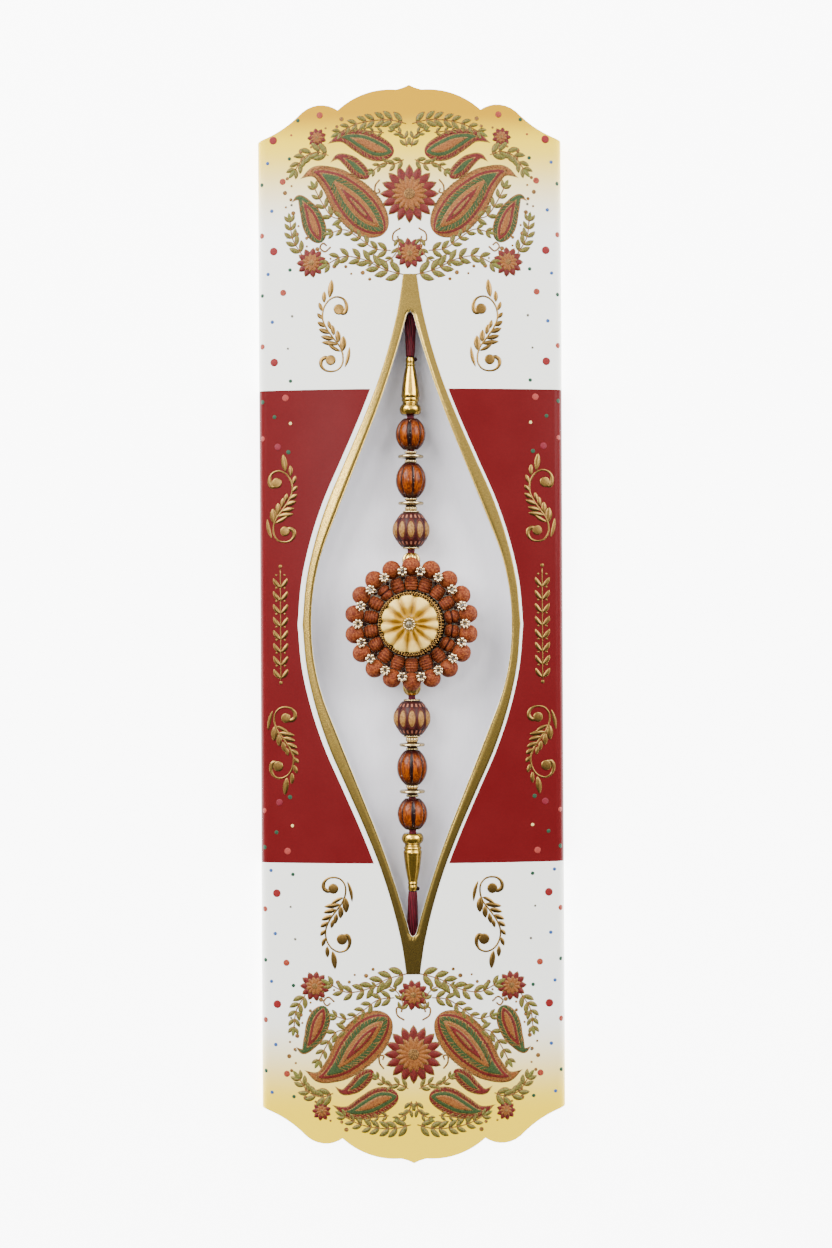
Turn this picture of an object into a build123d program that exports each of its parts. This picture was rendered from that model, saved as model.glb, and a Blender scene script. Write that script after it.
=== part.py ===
from build123d import *
import math
import os

# A rakhi: a wrist thread with a round bead medallion, laid straight out in the window of a printed
# gift card. The card is a sleeve of two leaves with scalloped ends. The front leaf is arched and has
# a pointed oval window, and the thread's free ends run on inside the sleeve.
# Millimetres. The origin is under the middle of the card, on the surface it lies on.
# +Z points up out of the window, +Y runs along the thread, and the pieces repeat at -Y.

# Card sleeve
card_length = 240.0
card_width = 68.0
card_thickness = 0.45
card_height = 8.0              # top of the arched front leaf above the table
card_fold_radius = 2.2         # outside of the rounded side folds
card_flap_width = 4.0          # glue flaps turned in under the front leaf
card_back_inset = 0.8          # side edges of the back leaf, inside the folds
card_leaf_step = 0.2           # the back leaf is this much longer at each end
scallop_depth = 11.7           # from the middle of an end down to its corners
glue_gap = 0.05
window_length = 138.9
window_width = 44.6

# Threads
string_diameter = 1.7
string_clearance = 0.1         # between the string and every bead bore, all round
tie_diameter = 2.4
tie_bend_share = 0.45          # of a run's length that a bend may take at each of its ends

# Pieces on the string, from the medallion outwards
gold_bead_diameter = 3.6
gold_bead_length = 3.4
gold_bead_lip = 0.2            # flat round the bore at each end
gold_bead_lobes = 6
gold_bead_groove_diameter = 0.5
gold_bead_tuck = 1.4           # centre of the gold bead outside the bead ring's pitch circle
knot_length_inner = 0.9        # bare string between gold bead and brown bead
rim_diameter = 3.8
rim_thickness = 0.45
brown_bead_length = 7.5
brown_bead_diameter = 7.7      # body, without the raised ovals
brown_bead_end_diameter = 4.4
oval_count = 11
oval_width = 1.55
oval_length = 3.8
oval_rise = 0.35
notch_count = 18
notch_diameter = 0.3
notch_depth = 0.55
spacer_diameter = 5.75
spacer_disc_thickness = 0.7
spacer_neck_diameter = 2.3
spacer_neck_length = 0.35
spacer_hub_diameter = 2.8
spacer_hub_length = 0.5        # hub ring on the side away from the medallion
spacer_hub_length_brown = 0.95  # hub ring against a brown bead's rim
spacer_hub_length_amber = 0.75  # hub ring against an oval amber bead
oval_amber_length = 7.7
oval_amber_diameter = 6.6
round_amber_length = 6.9
round_amber_diameter = 6.5
amber_end_diameter = 3.0
amber_lobes = 7
amber_groove_diameter = 0.5
knot_length_amber = 0.35       # bare string under the round amber bead
knot_length_outer = 0.9        # bare string between the round amber bead and the ferrule
bead_gap = 0.05

# End ferrules
ferrule_length = 12.9
ferrule_collar_diameter = 4.9
ferrule_face_diameter = 3.8    # flat end towards the beads
ferrule_throat_diameter = 1.0  # shallow hollow in the mouth
ferrule_throat_depth = 0.8
ferrule_string_depth = 9.0     # blind bore that takes the end of the string

# Medallion
seat_gap = 0.1                 # between stacked pieces of the medallion
base_thickness = 0.8
base_inset = 0.6               # edge of the base disc inside the outer ring's pitch circle
spoke_count = 18
outer_ring_radius = 12.8
outer_bead_diameter = 3.9
ring_gap = 0.3                 # between the outer beads and the inner barrels
inner_bead_gap = 0.26          # between neighbouring barrels, at their middles
inner_bead_bulge = 0.4         # middle of a barrel beyond its ends, in radius
inner_bead_ribs = 4
inner_rib_depth = 0.1
daisy_inset = 1.0              # centres of the daisies inside the outer ring's pitch circle
daisy_diameter = 2.35
daisy_petals = 8
daisy_thickness = 0.8
daisy_hole_diameter = 0.55
daisy_dome_radius = 1.75
daisy_petal_overlap = 1.08     # petals this much wider than ones that only touch
daisy_tilt = 6.0               # degrees, the most that a daisy leans
daisy_lean_step = 2.4          # radians from one daisy to the next, for its lean to the side
daisy_roll_step = 3.1          # and for its lean towards the middle

# Bezel and flower, built upright and then leaned over as one
centre_tilt = 6.5              # degrees, top leaning towards -X
bezel_gap = 0.45               # between the inner barrels and the foot of the bezel
bezel_base_radius = 7.2
bezel_wall_radius = 6.9
bezel_rim_radius = 7.1
bezel_height = 3.8
bezel_wall = 0.45
bezel_floor = 0.5
rim_band_height = 0.7
rim_row_step = 0.08            # the rim's outer row is this much lower than its inner row
flower_clearance = 0.1
flower_petals = 12
flower_edge_height = 2.7       # flower's underside to its outer top edge
flower_crown_rise = 1.3        # highest part of the petals above that edge
flower_heart_rise = 0.9        # flat heart under the boss, above the outer top edge
flower_heart_margin = 0.25     # of the flat heart round the boss
petal_groove_diameter = 0.6
petal_groove_start = 9.0       # degrees from +X to the first groove
boss_diameter = 2.9
boss_height = 0.75
boss_petals = 12
boss_petal_diameter = 0.46
stone_diameter = 1.5
stone_rise = 0.45
stone_seat = 0.3               # depth of the stone's socket in the boss

# Rings that the rest follows: the barrels fill the space between the bezel and the outer beads
barrel_foot_radius = bezel_base_radius + bezel_gap
inner_bead_length = outer_ring_radius - outer_bead_diameter / 2 - ring_gap - barrel_foot_radius
inner_ring_radius = barrel_foot_radius + inner_bead_length / 2
inner_bead_diameter = 2 * inner_ring_radius * math.sin(math.pi / spoke_count) - inner_bead_gap
inner_bead_end_diameter = inner_bead_diameter - 2 * inner_bead_bulge
daisy_ring_radius = outer_ring_radius - daisy_inset

# Heights that the rest follows
string_z = card_thickness + glue_gap + brown_bead_diameter / 2 + oval_rise
base_bottom_z = string_z + string_diameter / 2 + seat_gap
base_top_z = base_bottom_z + base_thickness
outer_bead_z = base_top_z + seat_gap + outer_bead_diameter / 2
inner_bead_z = base_top_z + seat_gap + inner_bead_diameter / 2
bead_bore = string_diameter + 2 * string_clearance
flower_heart_radius = boss_diameter / 2 + flower_heart_margin

# One end of the card, from its middle to a corner. Each row is an arc, by its middle point and its
# end point: across as a share of half the card's width, drop as a share of the scallop's depth.
SCALLOP_ARCS = [
    {"mid_across": 0.040, "mid_drop": 0.055, "end_across": 0.085, "end_drop": 0.090},
    {"mid_across": 0.250, "mid_drop": 0.128, "end_across": 0.468, "end_drop": 0.462},
    {"mid_across": 0.576, "mid_drop": 0.355, "end_across": 0.720, "end_drop": 0.530},
    {"mid_across": 0.860, "mid_drop": 0.830, "end_across": 1.000, "end_drop": 1.000},
]

# One quarter of the window, from its widest place to its tip: along as a share of half the window's
# length, across as a share of half its width. A row without a middle point is a straight run.
WINDOW_RUNS = [
    {"mid": (0.155, 0.953), "end": (0.302, 0.809)},
    {"mid": None, "end": (0.648, 0.377)},
    {"mid": (0.847, 0.160), "end": (0.985, 0.036)},
]

# The ferrule's outline from its face to its mouth. Each row is an arc, by its middle point and its
# end point: along as a share of the ferrule's length, radius as a share of the collar's radius.
FERRULE_ARCS = [
    {"mid_along": 0.090, "mid_radius": 1.000, "end_along": 0.215, "end_radius": 0.673},
    {"mid_along": 0.250, "mid_radius": 0.740, "end_along": 0.310, "end_radius": 0.796},
    {"mid_along": 0.580, "mid_radius": 0.653, "end_along": 0.830, "end_radius": 0.390},
    {"mid_along": 0.900, "mid_radius": 0.408, "end_along": 1.000, "end_radius": 0.306},
]

# Free ends of the thread, from the upper ferrule's mouth to the bare end: x, how far past the
# mouth, z. The lower one takes the same places at -Y and -X.
TIE_ROUTE = [
    (0.0, 0.1, 4.70),
    (0.1, 9.7, 4.60),
    (0.5, 19.6, 2.90),
    (-0.3, 30.1, 1.85),
    (-0.6, 40.6, 1.75),
    (0.3, 50.0, 1.80),
]


def line(start, end):
    """A straight edge in the XY plane."""
    return Line((start[0], start[1], 0), (end[0], end[1], 0)).edge()


def arc(start, mid, end):
    """An edge in the XY plane that bends through mid."""
    return ThreePointArc((start[0], start[1], 0), (mid[0], mid[1], 0), (end[0], end[1], 0)).edge()


def upright(outline, height):
    """A prism on the XY plane with the given outline."""
    return extrude(outline, height, dir=(0, 0, 1))


def turned(profile_edges):
    """Revolve a closed profile of radius and height round the Z axis."""
    face = Face(Wire(profile_edges))
    return revolve(Plane.XZ * face, Axis.Z, 360)


def on_string(piece, start, side):
    """Put a piece that stands on Z=0 on the string, reaching outwards from start towards side * Y."""
    return Pos(0, side * start, string_z) * Rot(-90 * side, 0, 0) * piece


def string_layout():
    """Where each piece on the string starts, measured from the middle of the medallion."""
    gold_start = outer_ring_radius + gold_bead_tuck - gold_bead_length / 2
    row = [
        ("gold_bead", gold_bead_length, knot_length_inner),
        ("rim_inner", rim_thickness, bead_gap),
        ("brown_bead", brown_bead_length, bead_gap),
        ("rim_outer", rim_thickness, bead_gap),
        ("spacer_brown", spacer_length(spacer_hub_length_brown), bead_gap),
        ("amber_oval", oval_amber_length, bead_gap),
        ("spacer_amber", spacer_length(spacer_hub_length_amber), knot_length_amber),
        ("amber_round", round_amber_length, knot_length_outer),
        ("ferrule", ferrule_length, 0.0),
    ]
    starts = {}
    place = gold_start
    for name, length, gap_after in row:
        starts[name] = place
        place += length + gap_after
    starts["mouth"] = place
    return starts


def end_edges(half_length, end):
    """The scalloped edge of the end at end * Y, from corner to corner."""
    right = []
    start = (0.0, half_length)
    for row in SCALLOP_ARCS:
        mid = (row["mid_across"] * card_width / 2, half_length - row["mid_drop"] * scallop_depth)
        stop = (row["end_across"] * card_width / 2, half_length - row["end_drop"] * scallop_depth)
        right.append((start, mid, stop))
        start = stop
    left = [((-c[0], c[1]), (-b[0], b[1]), (-a[0], a[1])) for a, b, c in reversed(right)]
    return [arc(*[(p[0], end * p[1]) for p in run]) for run in left + right]


def card_outline(half_length):
    """The flat outline of a leaf, with both scalloped ends."""
    corner_x = card_width / 2
    corner_y = half_length - scallop_depth
    right = line((corner_x, corner_y), (corner_x, -corner_y))
    left = line((-corner_x, -corner_y), (-corner_x, corner_y))
    return Face(Wire(end_edges(half_length, 1) + [right] + end_edges(half_length, -1) + [left]))


def window_outline():
    """The pointed oval of the window, with small round tips."""
    half_long = window_length / 2
    half_wide = window_width / 2
    quarter = []
    start = (half_wide, 0.0)
    for row in WINDOW_RUNS:
        stop = (row["end"][1] * half_wide, row["end"][0] * half_long)
        mid = None
        if row["mid"]:
            mid = (row["mid"][1] * half_wide, row["mid"][0] * half_long)
        quarter.append((start, mid, stop))
        start = stop
    edges = []
    for sx, sy, backwards in [(1, 1, False), (-1, 1, True), (-1, -1, False), (1, -1, True)]:
        runs = [(c, b, a) for a, b, c in reversed(quarter)] if backwards else quarter
        for run_start, mid, stop in runs:
            a = (sx * run_start[0], sy * run_start[1])
            c = (sx * stop[0], sy * stop[1])
            if mid:
                edges.append(arc(a, (sx * mid[0], sy * mid[1]), c))
            else:
                edges.append(line(a, c))
        if not backwards:
            tip = (sx * start[0], sy * start[1])
            edges.append(arc(tip, (0, sy * half_long), (-tip[0], tip[1])))
    return Face(Wire(edges))


def card_section():
    """The bent card from flap to flap: flat flaps, round folds, and one wide arch tangent to both."""
    flap_z = card_thickness + glue_gap
    fold_x = card_width / 2 - card_fold_radius
    fold_z = flap_z + card_fold_radius
    drop = fold_z - card_height
    arch_radius = (fold_x**2 + drop**2 - card_fold_radius**2) / (-2 * (drop + card_fold_radius))
    arch_z = card_height - arch_radius
    lean = math.atan2(fold_x, fold_z - arch_z)
    skins = []
    for inset in (0.0, card_thickness):
        fold = card_fold_radius - inset
        foot = (fold_x, fold_z - fold)
        side = (fold_x + fold, fold_z)
        shoulder = (fold_x + fold * math.sin(lean), fold_z + fold * math.cos(lean))
        flap_end = (fold_x - card_flap_width, fold_z - fold)
        top = (0.0, card_height - inset)
        skins.append((flap_end, foot, side, shoulder, top))
    edges = []
    for number, (flap_end, foot, side, shoulder, top) in enumerate(skins):
        sign = 1 if number == 0 else -1
        near = [(sign * p[0], p[1]) for p in (flap_end, foot, side, shoulder)]
        far = [(-p[0], p[1]) for p in near]
        edges.append(line(near[0], near[1]))
        edges.append(arc(near[1], near[2], near[3]))
        edges.append(arc(near[3], top, far[3]))
        edges.append(arc(far[3], far[2], far[1]))
        edges.append(line(far[1], far[0]))
        next_end = skins[1 - number][0]
        edges.append(line(far[0], (far[0][0], next_end[1])))
    return Face(Wire(edges))


def card_front_panel():
    """The arched front leaf with its side folds, glue flaps, scalloped ends and window."""
    sleeve = extrude(Plane.XZ * card_section(), card_length / 2, both=True)
    ends = upright(card_outline(card_length / 2 - card_leaf_step), card_height + card_thickness)
    window = Pos(0, 0, card_height / 2) * upright(window_outline(), card_height)
    return (sleeve & ends) - window


def card_back_panel():
    """The flat back leaf that the card lies on."""
    leaf = upright(card_outline(card_length / 2), card_thickness)
    sides = Box(
        card_width - 2 * card_back_inset,
        card_length,
        card_thickness,
        align=(Align.CENTER, Align.CENTER, Align.MIN),
    )
    return leaf & sides


def groove_ring(mid_radius, mid_height, spine_radius, groove_diameter):
    """A round cutter whose middle line follows a meridian arc that is highest at mid_radius."""
    ring = Rot(90, 0, 0) * Torus(spine_radius, groove_diameter / 2)
    return Pos(mid_radius - spine_radius, 0, mid_height) * ring


def melon_bead(length, diameter, end_diameter, lobes, groove_diameter):
    """A barrel bead with a bore and evenly spaced lengthwise grooves."""
    middle = length / 2
    radius = diameter / 2
    end_radius = end_diameter / 2
    bore_radius = bead_bore / 2
    body = turned(
        [
            line((bore_radius, 0), (end_radius, 0)),
            arc((end_radius, 0), (radius, middle), (end_radius, length)),
            line((end_radius, length), (bore_radius, length)),
            line((bore_radius, length), (bore_radius, 0)),
        ]
    )
    bulge = radius - end_radius
    spine_radius = (middle**2 + bulge**2) / (2 * bulge)
    cutter = groove_ring(radius, middle, spine_radius, groove_diameter)
    for number in range(lobes):
        body -= Rot(0, 0, number * 360 / lobes) * cutter
    return body


def washer(diameter, thickness):
    """A plain round rim with a bore for the string."""
    return extrude(Circle(diameter / 2) - Circle(bead_bore / 2), thickness)


def spacer_length(inner_hub_length):
    """Length along the string of a wheel spacer."""
    necks = 2 * spacer_neck_length
    return inner_hub_length + necks + spacer_disc_thickness + spacer_hub_length


def wheel_spacer(inner_hub_length):
    """A round-edged disc between two hub rings, turned in one piece."""
    hub = spacer_hub_diameter / 2
    neck = spacer_neck_diameter / 2
    rim = spacer_diameter / 2
    edge = spacer_disc_thickness / 2
    bore = bead_bore / 2
    disc_start = inner_hub_length + spacer_neck_length
    disc_stop = disc_start + spacer_disc_thickness
    outer_hub = disc_stop + spacer_neck_length
    length = spacer_length(inner_hub_length)
    return turned(
        [
            line((bore, 0), (hub, 0)),
            line((hub, 0), (hub, inner_hub_length)),
            line((hub, inner_hub_length), (neck, inner_hub_length)),
            line((neck, inner_hub_length), (neck, disc_start)),
            line((neck, disc_start), (rim - edge, disc_start)),
            arc((rim - edge, disc_start), (rim, disc_start + edge), (rim - edge, disc_stop)),
            line((rim - edge, disc_stop), (neck, disc_stop)),
            line((neck, disc_stop), (neck, outer_hub)),
            line((neck, outer_hub), (hub, outer_hub)),
            line((hub, outer_hub), (hub, length)),
            line((hub, length), (bore, length)),
            line((bore, length), (bore, 0)),
        ]
    )


def brown_bead():
    """A barrel bead with a ring of raised upright ovals and a notched band near each end."""
    middle = brown_bead_length / 2
    radius = brown_bead_diameter / 2
    end_radius = brown_bead_end_diameter / 2
    bore_radius = bead_bore / 2
    body = turned(
        [
            line((bore_radius, 0), (end_radius, 0)),
            arc((end_radius, 0), (radius, middle), (end_radius, brown_bead_length)),
            line((end_radius, brown_bead_length), (bore_radius, brown_bead_length)),
            line((bore_radius, brown_bead_length), (bore_radius, 0)),
        ]
    )
    bulge = radius - end_radius
    body_curve = (middle**2 + bulge**2) / (2 * bulge)
    reach = oval_length / 2 + oval_rise
    raised_radius = radius - body_curve + math.sqrt(body_curve**2 - reach**2)
    low = middle - reach
    high = middle + reach
    inner_radius = raised_radius - oval_rise
    raised = turned(
        [
            line((inner_radius, low), (raised_radius, low)),
            arc((raised_radius, low), (radius + oval_rise, middle), (raised_radius, high)),
            line((raised_radius, high), (inner_radius, high)),
            line((inner_radius, high), (inner_radius, low)),
        ]
    )
    oval = extrude(Ellipse(oval_length / 2, oval_width / 2), brown_bead_diameter)
    ovals = []
    for number in range(oval_count):
        spoke = Rot(0, 0, number * 360 / oval_count) * Pos(0, 0, middle) * Rot(0, 90, 0) * oval
        ovals.append(spoke & raised)
    bead = body
    for piece in ovals:
        bead += piece
    band_height = (middle - oval_length / 2) / 2
    band_radius = radius - body_curve + math.sqrt(body_curve**2 - (middle - band_height) ** 2)
    slope = math.degrees(math.asin((middle - band_height) / body_curve))
    notch = Cylinder(notch_diameter / 2, 2 * notch_depth)
    for number in range(notch_count):
        turn = Rot(0, 0, number * 360 / notch_count)
        bead -= turn * Pos(band_radius, 0, band_height) * Rot(0, slope, 0) * notch
        bead -= turn * Pos(band_radius, 0, brown_bead_length - band_height) * Rot(0, -slope, 0) * notch
    return bead


def end_ferrule():
    """The tapered gold end: a round collar, a neck, a long taper and a small ring at the mouth."""
    collar = ferrule_collar_diameter / 2
    face = ferrule_face_diameter / 2
    throat = ferrule_throat_diameter / 2
    throat_floor = ferrule_length - ferrule_throat_depth
    bore = bead_bore / 2
    edges = [line((bore, 0), (face, 0))]
    start = (face, 0)
    for row in FERRULE_ARCS:
        mid = (row["mid_radius"] * collar, row["mid_along"] * ferrule_length)
        stop = (row["end_radius"] * collar, row["end_along"] * ferrule_length)
        edges.append(arc(start, mid, stop))
        start = stop
    edges += [
        line(start, (throat, ferrule_length)),
        line((throat, ferrule_length), (throat, throat_floor)),
        line((throat, throat_floor), (0, throat_floor)),
        line((0, throat_floor), (0, ferrule_string_depth)),
        line((0, ferrule_string_depth), (bore, ferrule_string_depth)),
        line((bore, ferrule_string_depth), (bore, 0)),
    ]
    return turned(edges)


def stringing_thread(starts):
    """The straight string, from inside one ferrule, under the medallion, into the other."""
    half = starts["ferrule"] + ferrule_string_depth - bead_gap
    rod = Cylinder(string_diameter / 2, 2 * half)
    return Pos(0, 0, string_z) * Rot(90, 0, 0) * rod


def tie_radii(points):
    """The bend at each inner point: a share of its shorter run over the tangent of half the turn."""
    radii = []
    for before, here, after in zip(points, points[1:], points[2:]):
        run_in = Vector(*here) - Vector(*before)
        run_out = Vector(*after) - Vector(*here)
        half_turn = math.radians(run_in.get_angle(run_out)) / 2
        radii.append(tie_bend_share * min(run_in.length, run_out.length) / math.tan(half_turn))
    return radii


def tie_thread(side, mouth):
    """One free end of the thread, a plain round tube with a bare end."""
    points = [(side * x, side * (mouth + past), z) for x, past, z in TIE_ROUTE]
    radii = tie_radii(points)
    path = FilletPolyline(*points, radius=radii)
    start = Plane(origin=path @ 0, z_dir=path % 0)
    tube = sweep(start * Circle(tie_diameter / 2), path=path)
    share = tube.volume / (math.pi * (tie_diameter / 2) ** 2 * path.length)
    print("tie", side, "length", round(path.length, 2), "volume over section times length", round(share, 4))
    print("  radii", [round(r, 1) for r in radii])
    return tube


def medallion_base():
    """The thin pale disc that the beads and the bezel sit on."""
    disc = Cylinder(outer_ring_radius - base_inset, base_thickness)
    return Pos(0, 0, base_bottom_z + base_thickness / 2) * disc


def outer_ring_beads():
    """The outer ring of round beads, one on each spoke."""
    bead = Sphere(outer_bead_diameter / 2)
    spokes = PolarLocations(outer_ring_radius, spoke_count, start_angle=90)
    return Compound(children=[Pos(0, 0, outer_bead_z) * place * bead for place in spokes])


def ribbed_bead():
    """A short barrel along Z, ringed by round ribs that follow its bulge."""
    half = inner_bead_length / 2
    radius = inner_bead_diameter / 2
    end_radius = inner_bead_end_diameter / 2
    bulge = radius - end_radius
    curve = (half**2 + bulge**2) / (2 * bulge)
    rib = inner_bead_length / inner_bead_ribs

    def outline(height, depth):
        return (radius - curve + math.sqrt(curve**2 - height**2) - depth, height)

    edges = [line((0, -half), outline(-half, inner_rib_depth))]
    for number in range(inner_bead_ribs):
        low = -half + number * rib
        start = outline(low, inner_rib_depth)
        middle = outline(low + rib / 2, 0.0)
        stop = outline(low + rib, inner_rib_depth)
        edges.append(arc(start, middle, stop))
    edges.append(line(outline(half, inner_rib_depth), (0, half)))
    edges.append(line((0, half), (0, -half)))
    return turned(edges)


def inner_ring_beads():
    """The inner ring of ribbed barrels, each pointing at the middle of the medallion."""
    bead = Rot(0, 90, 0) * ribbed_bead()
    spokes = PolarLocations(inner_ring_radius, spoke_count, start_angle=90)
    return Compound(children=[Pos(0, 0, inner_bead_z) * place * bead for place in spokes])


def daisy():
    """A small domed stud with round petals and a hole in its middle, standing on Z=0."""
    petal_pitch = daisy_diameter / 2 * math.sin(math.pi / daisy_petals)
    petal_radius = daisy_petal_overlap * petal_pitch / (1 + math.sin(math.pi / daisy_petals))
    petal_place = daisy_diameter / 2 - petal_radius
    outline = Circle(petal_place)
    for place in PolarLocations(petal_place, daisy_petals):
        outline += place * Circle(petal_radius)
    outline -= Circle(daisy_hole_diameter / 2)
    dome = Pos(0, 0, daisy_thickness - daisy_dome_radius) * Sphere(daisy_dome_radius)
    return extrude(outline, daisy_thickness) & dome


def daisy_height():
    """The underside of the daisies: they rest on the shoulders of the two outer beads beside them."""
    half_step = math.pi / spoke_count
    along = outer_ring_radius * math.cos(half_step) - daisy_ring_radius
    across = outer_ring_radius * math.sin(half_step)
    near = math.hypot(along, across) - daisy_diameter / 2
    radius = outer_bead_diameter / 2
    tilt_drop = daisy_diameter / 2 * math.sin(math.radians(daisy_tilt))
    return outer_bead_z + math.sqrt(radius**2 - near**2) + tilt_drop + seat_gap


def daisy_studs():
    """The small daisies in the gaps between the spokes, leaning a little this way and that."""
    half_step = 180 / spoke_count
    height = daisy_height()
    spokes = PolarLocations(daisy_ring_radius, spoke_count, start_angle=90 + half_step)
    stud = daisy()
    studs = []
    for number, place in enumerate(spokes):
        lean = daisy_tilt * math.sin(daisy_lean_step * number)
        roll = daisy_tilt * math.cos(daisy_roll_step * number)
        studs.append(Pos(0, 0, height) * place * Rot(roll, lean, 0) * stud)
    return Compound(children=studs)


def centre_place():
    """Lean the bezel over its lower edge, which rests on the base disc."""
    drop = bezel_base_radius * math.sin(math.radians(centre_tilt))
    return Pos(0, 0, base_top_z + seat_gap + drop) * Rot(0, -centre_tilt, 0)


def bezel_cup():
    """The bezel: a floor, a slightly tapered wall and a rounded double rim, standing on Z=0."""
    inner = bezel_wall_radius - bezel_wall
    rim_low = bezel_height - rim_band_height
    row = (bezel_rim_radius - inner) / 2
    row_middle = inner + row
    cup = turned(
        [
            line((0, 0), (bezel_base_radius, 0)),
            line((bezel_base_radius, 0), (bezel_wall_radius, rim_low)),
            line((bezel_wall_radius, rim_low), (bezel_rim_radius, rim_low + row / 2)),
            arc(
                (bezel_rim_radius, rim_low + row / 2),
                (bezel_rim_radius - row / 2, bezel_height - rim_row_step),
                (row_middle, bezel_height - row / 2),
            ),
            arc(
                (row_middle, bezel_height - row / 2),
                (row_middle - row / 2, bezel_height),
                (inner, bezel_height - row / 2),
            ),
            line((inner, bezel_height - row / 2), (inner, bezel_floor)),
            line((inner, bezel_floor), (0, bezel_floor)),
            line((0, bezel_floor), (0, 0)),
        ]
    )
    return centre_place() * cup


def flower_profile():
    """Radii and heights that the flower and the boss share, from the flower's underside."""
    edge_radius = bezel_wall_radius - bezel_wall - flower_clearance
    heart = (flower_heart_radius, flower_edge_height + flower_heart_rise)
    edge = (edge_radius, flower_edge_height)
    crown = ((edge_radius + flower_heart_radius) / 2, flower_edge_height + flower_crown_rise)
    return heart, crown, edge


def circle_through(a, b, c):
    """The centre and radius of the circle through three points."""
    d = 2 * (a[0] * (b[1] - c[1]) + b[0] * (c[1] - a[1]) + c[0] * (a[1] - b[1]))
    a2 = a[0] ** 2 + a[1] ** 2
    b2 = b[0] ** 2 + b[1] ** 2
    c2 = c[0] ** 2 + c[1] ** 2
    x = (a2 * (b[1] - c[1]) + b2 * (c[1] - a[1]) + c2 * (a[1] - b[1])) / d
    y = (a2 * (c[0] - b[0]) + b2 * (a[0] - c[0]) + c2 * (b[0] - a[0])) / d
    return (x, y), math.hypot(a[0] - x, a[1] - y)


def ivory_flower():
    """The carved flower: a shallow dome with a flat heart, cut into petals by round grooves."""
    heart, crown, edge = flower_profile()
    flower = turned(
        [
            line((0, 0), (edge[0], 0)),
            line((edge[0], 0), edge),
            arc(edge, crown, heart),
            line(heart, (0, heart[1])),
            line((0, heart[1]), (0, 0)),
        ]
    )
    centre, radius = circle_through(heart, crown, edge)
    groove = Rot(90, 0, 0) * Torus(radius, petal_groove_diameter / 2)
    for number in range(flower_petals):
        turn = Rot(0, 0, petal_groove_start + number * 360 / flower_petals)
        flower -= turn * Pos(centre[0], 0, centre[1]) * groove
    seat = bezel_floor + seat_gap / 2
    return centre_place() * Pos(0, 0, seat) * flower


def heart_seat():
    """Height of the flower's flat heart above the bezel's underside."""
    return bezel_floor + seat_gap / 2 + flower_edge_height + flower_heart_rise


def flower_boss():
    """The small many-petalled boss on the flower's heart, with a socket for its stone."""
    petal_radius = boss_petal_diameter / 2
    petal_place = boss_diameter / 2 - petal_radius
    outline = Circle(petal_place)
    for place in PolarLocations(petal_place, boss_petals):
        outline += place * Circle(petal_radius)
    boss = extrude(outline, boss_height)
    socket_radius = stone_diameter / 2 + glue_gap
    socket = Pos(0, 0, boss_height - stone_seat) * extrude(Circle(socket_radius), boss_height)
    return centre_place() * Pos(0, 0, heart_seat() + glue_gap) * (boss - socket)


def centre_stone():
    """The small domed stone in the boss."""
    half = stone_diameter / 2
    dome_radius = (half**2 + stone_rise**2) / (2 * stone_rise)
    top = stone_seat + stone_rise
    stone = extrude(Circle(half), top) & Pos(0, 0, top - dome_radius) * Sphere(dome_radius)
    seat = heart_seat() + glue_gap + boss_height - stone_seat + glue_gap
    return centre_place() * Pos(0, 0, seat) * stone


def build_pieces():
    """Every piece of the rakhi and its card, by node name."""
    starts = string_layout()
    pieces = {
        "card_back_panel": card_back_panel(),
        "card_front_panel": card_front_panel(),
        "stringing_thread": stringing_thread(starts),
        "medallion_base": medallion_base(),
        "outer_ring_beads": outer_ring_beads(),
        "inner_ring_beads": inner_ring_beads(),
        "daisy_studs": daisy_studs(),
        "bezel_cup": bezel_cup(),
        "ivory_flower": ivory_flower(),
        "flower_boss": flower_boss(),
        "centre_stone": centre_stone(),
    }
    gold_end = bead_bore + 2 * gold_bead_lip
    gold = melon_bead(
        gold_bead_length, gold_bead_diameter, gold_end, gold_bead_lobes, gold_bead_groove_diameter
    )
    amber_oval = melon_bead(
        oval_amber_length, oval_amber_diameter, amber_end_diameter, amber_lobes, amber_groove_diameter
    )
    amber_round = melon_bead(
        round_amber_length, round_amber_diameter, amber_end_diameter, amber_lobes, amber_groove_diameter
    )
    rim = washer(rim_diameter, rim_thickness)
    on_the_string = [
        ("gold_bead", "gold_bead", gold),
        ("bead_rim_inner", "rim_inner", rim),
        ("brown_bead", "brown_bead", brown_bead()),
        ("bead_rim_outer", "rim_outer", rim),
        ("wheel_spacer_inner", "spacer_brown", wheel_spacer(spacer_hub_length_brown)),
        ("amber_bead_oval", "amber_oval", amber_oval),
        ("wheel_spacer_outer", "spacer_amber", wheel_spacer(spacer_hub_length_amber)),
        ("amber_bead_round", "amber_round", amber_round),
        ("end_ferrule", "ferrule", end_ferrule()),
    ]
    for side, end in ((1, "upper"), (-1, "lower")):
        for node, place, shape in on_the_string:
            pieces[f"{node}_{end}"] = on_string(shape, starts[place], side)
        pieces[f"tie_thread_{end}"] = tie_thread(side, starts["mouth"])
    print("ferrule mouth at", round(starts["mouth"], 2), "string height", round(string_z, 3))
    return pieces


os.makedirs("parts", exist_ok=True)
for node_name, shape in build_pieces().items():
    export_step(shape, f"parts/{node_name}.step")
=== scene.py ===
"""A rakhi lying in the window of its printed card, dressed for rendering.

Lengths are millimetres until they reach a mesh or a light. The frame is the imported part's: +Y runs
along the thread, +Z points up out of the card's window, and the origin is under the card's middle.
"""
import math

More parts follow.
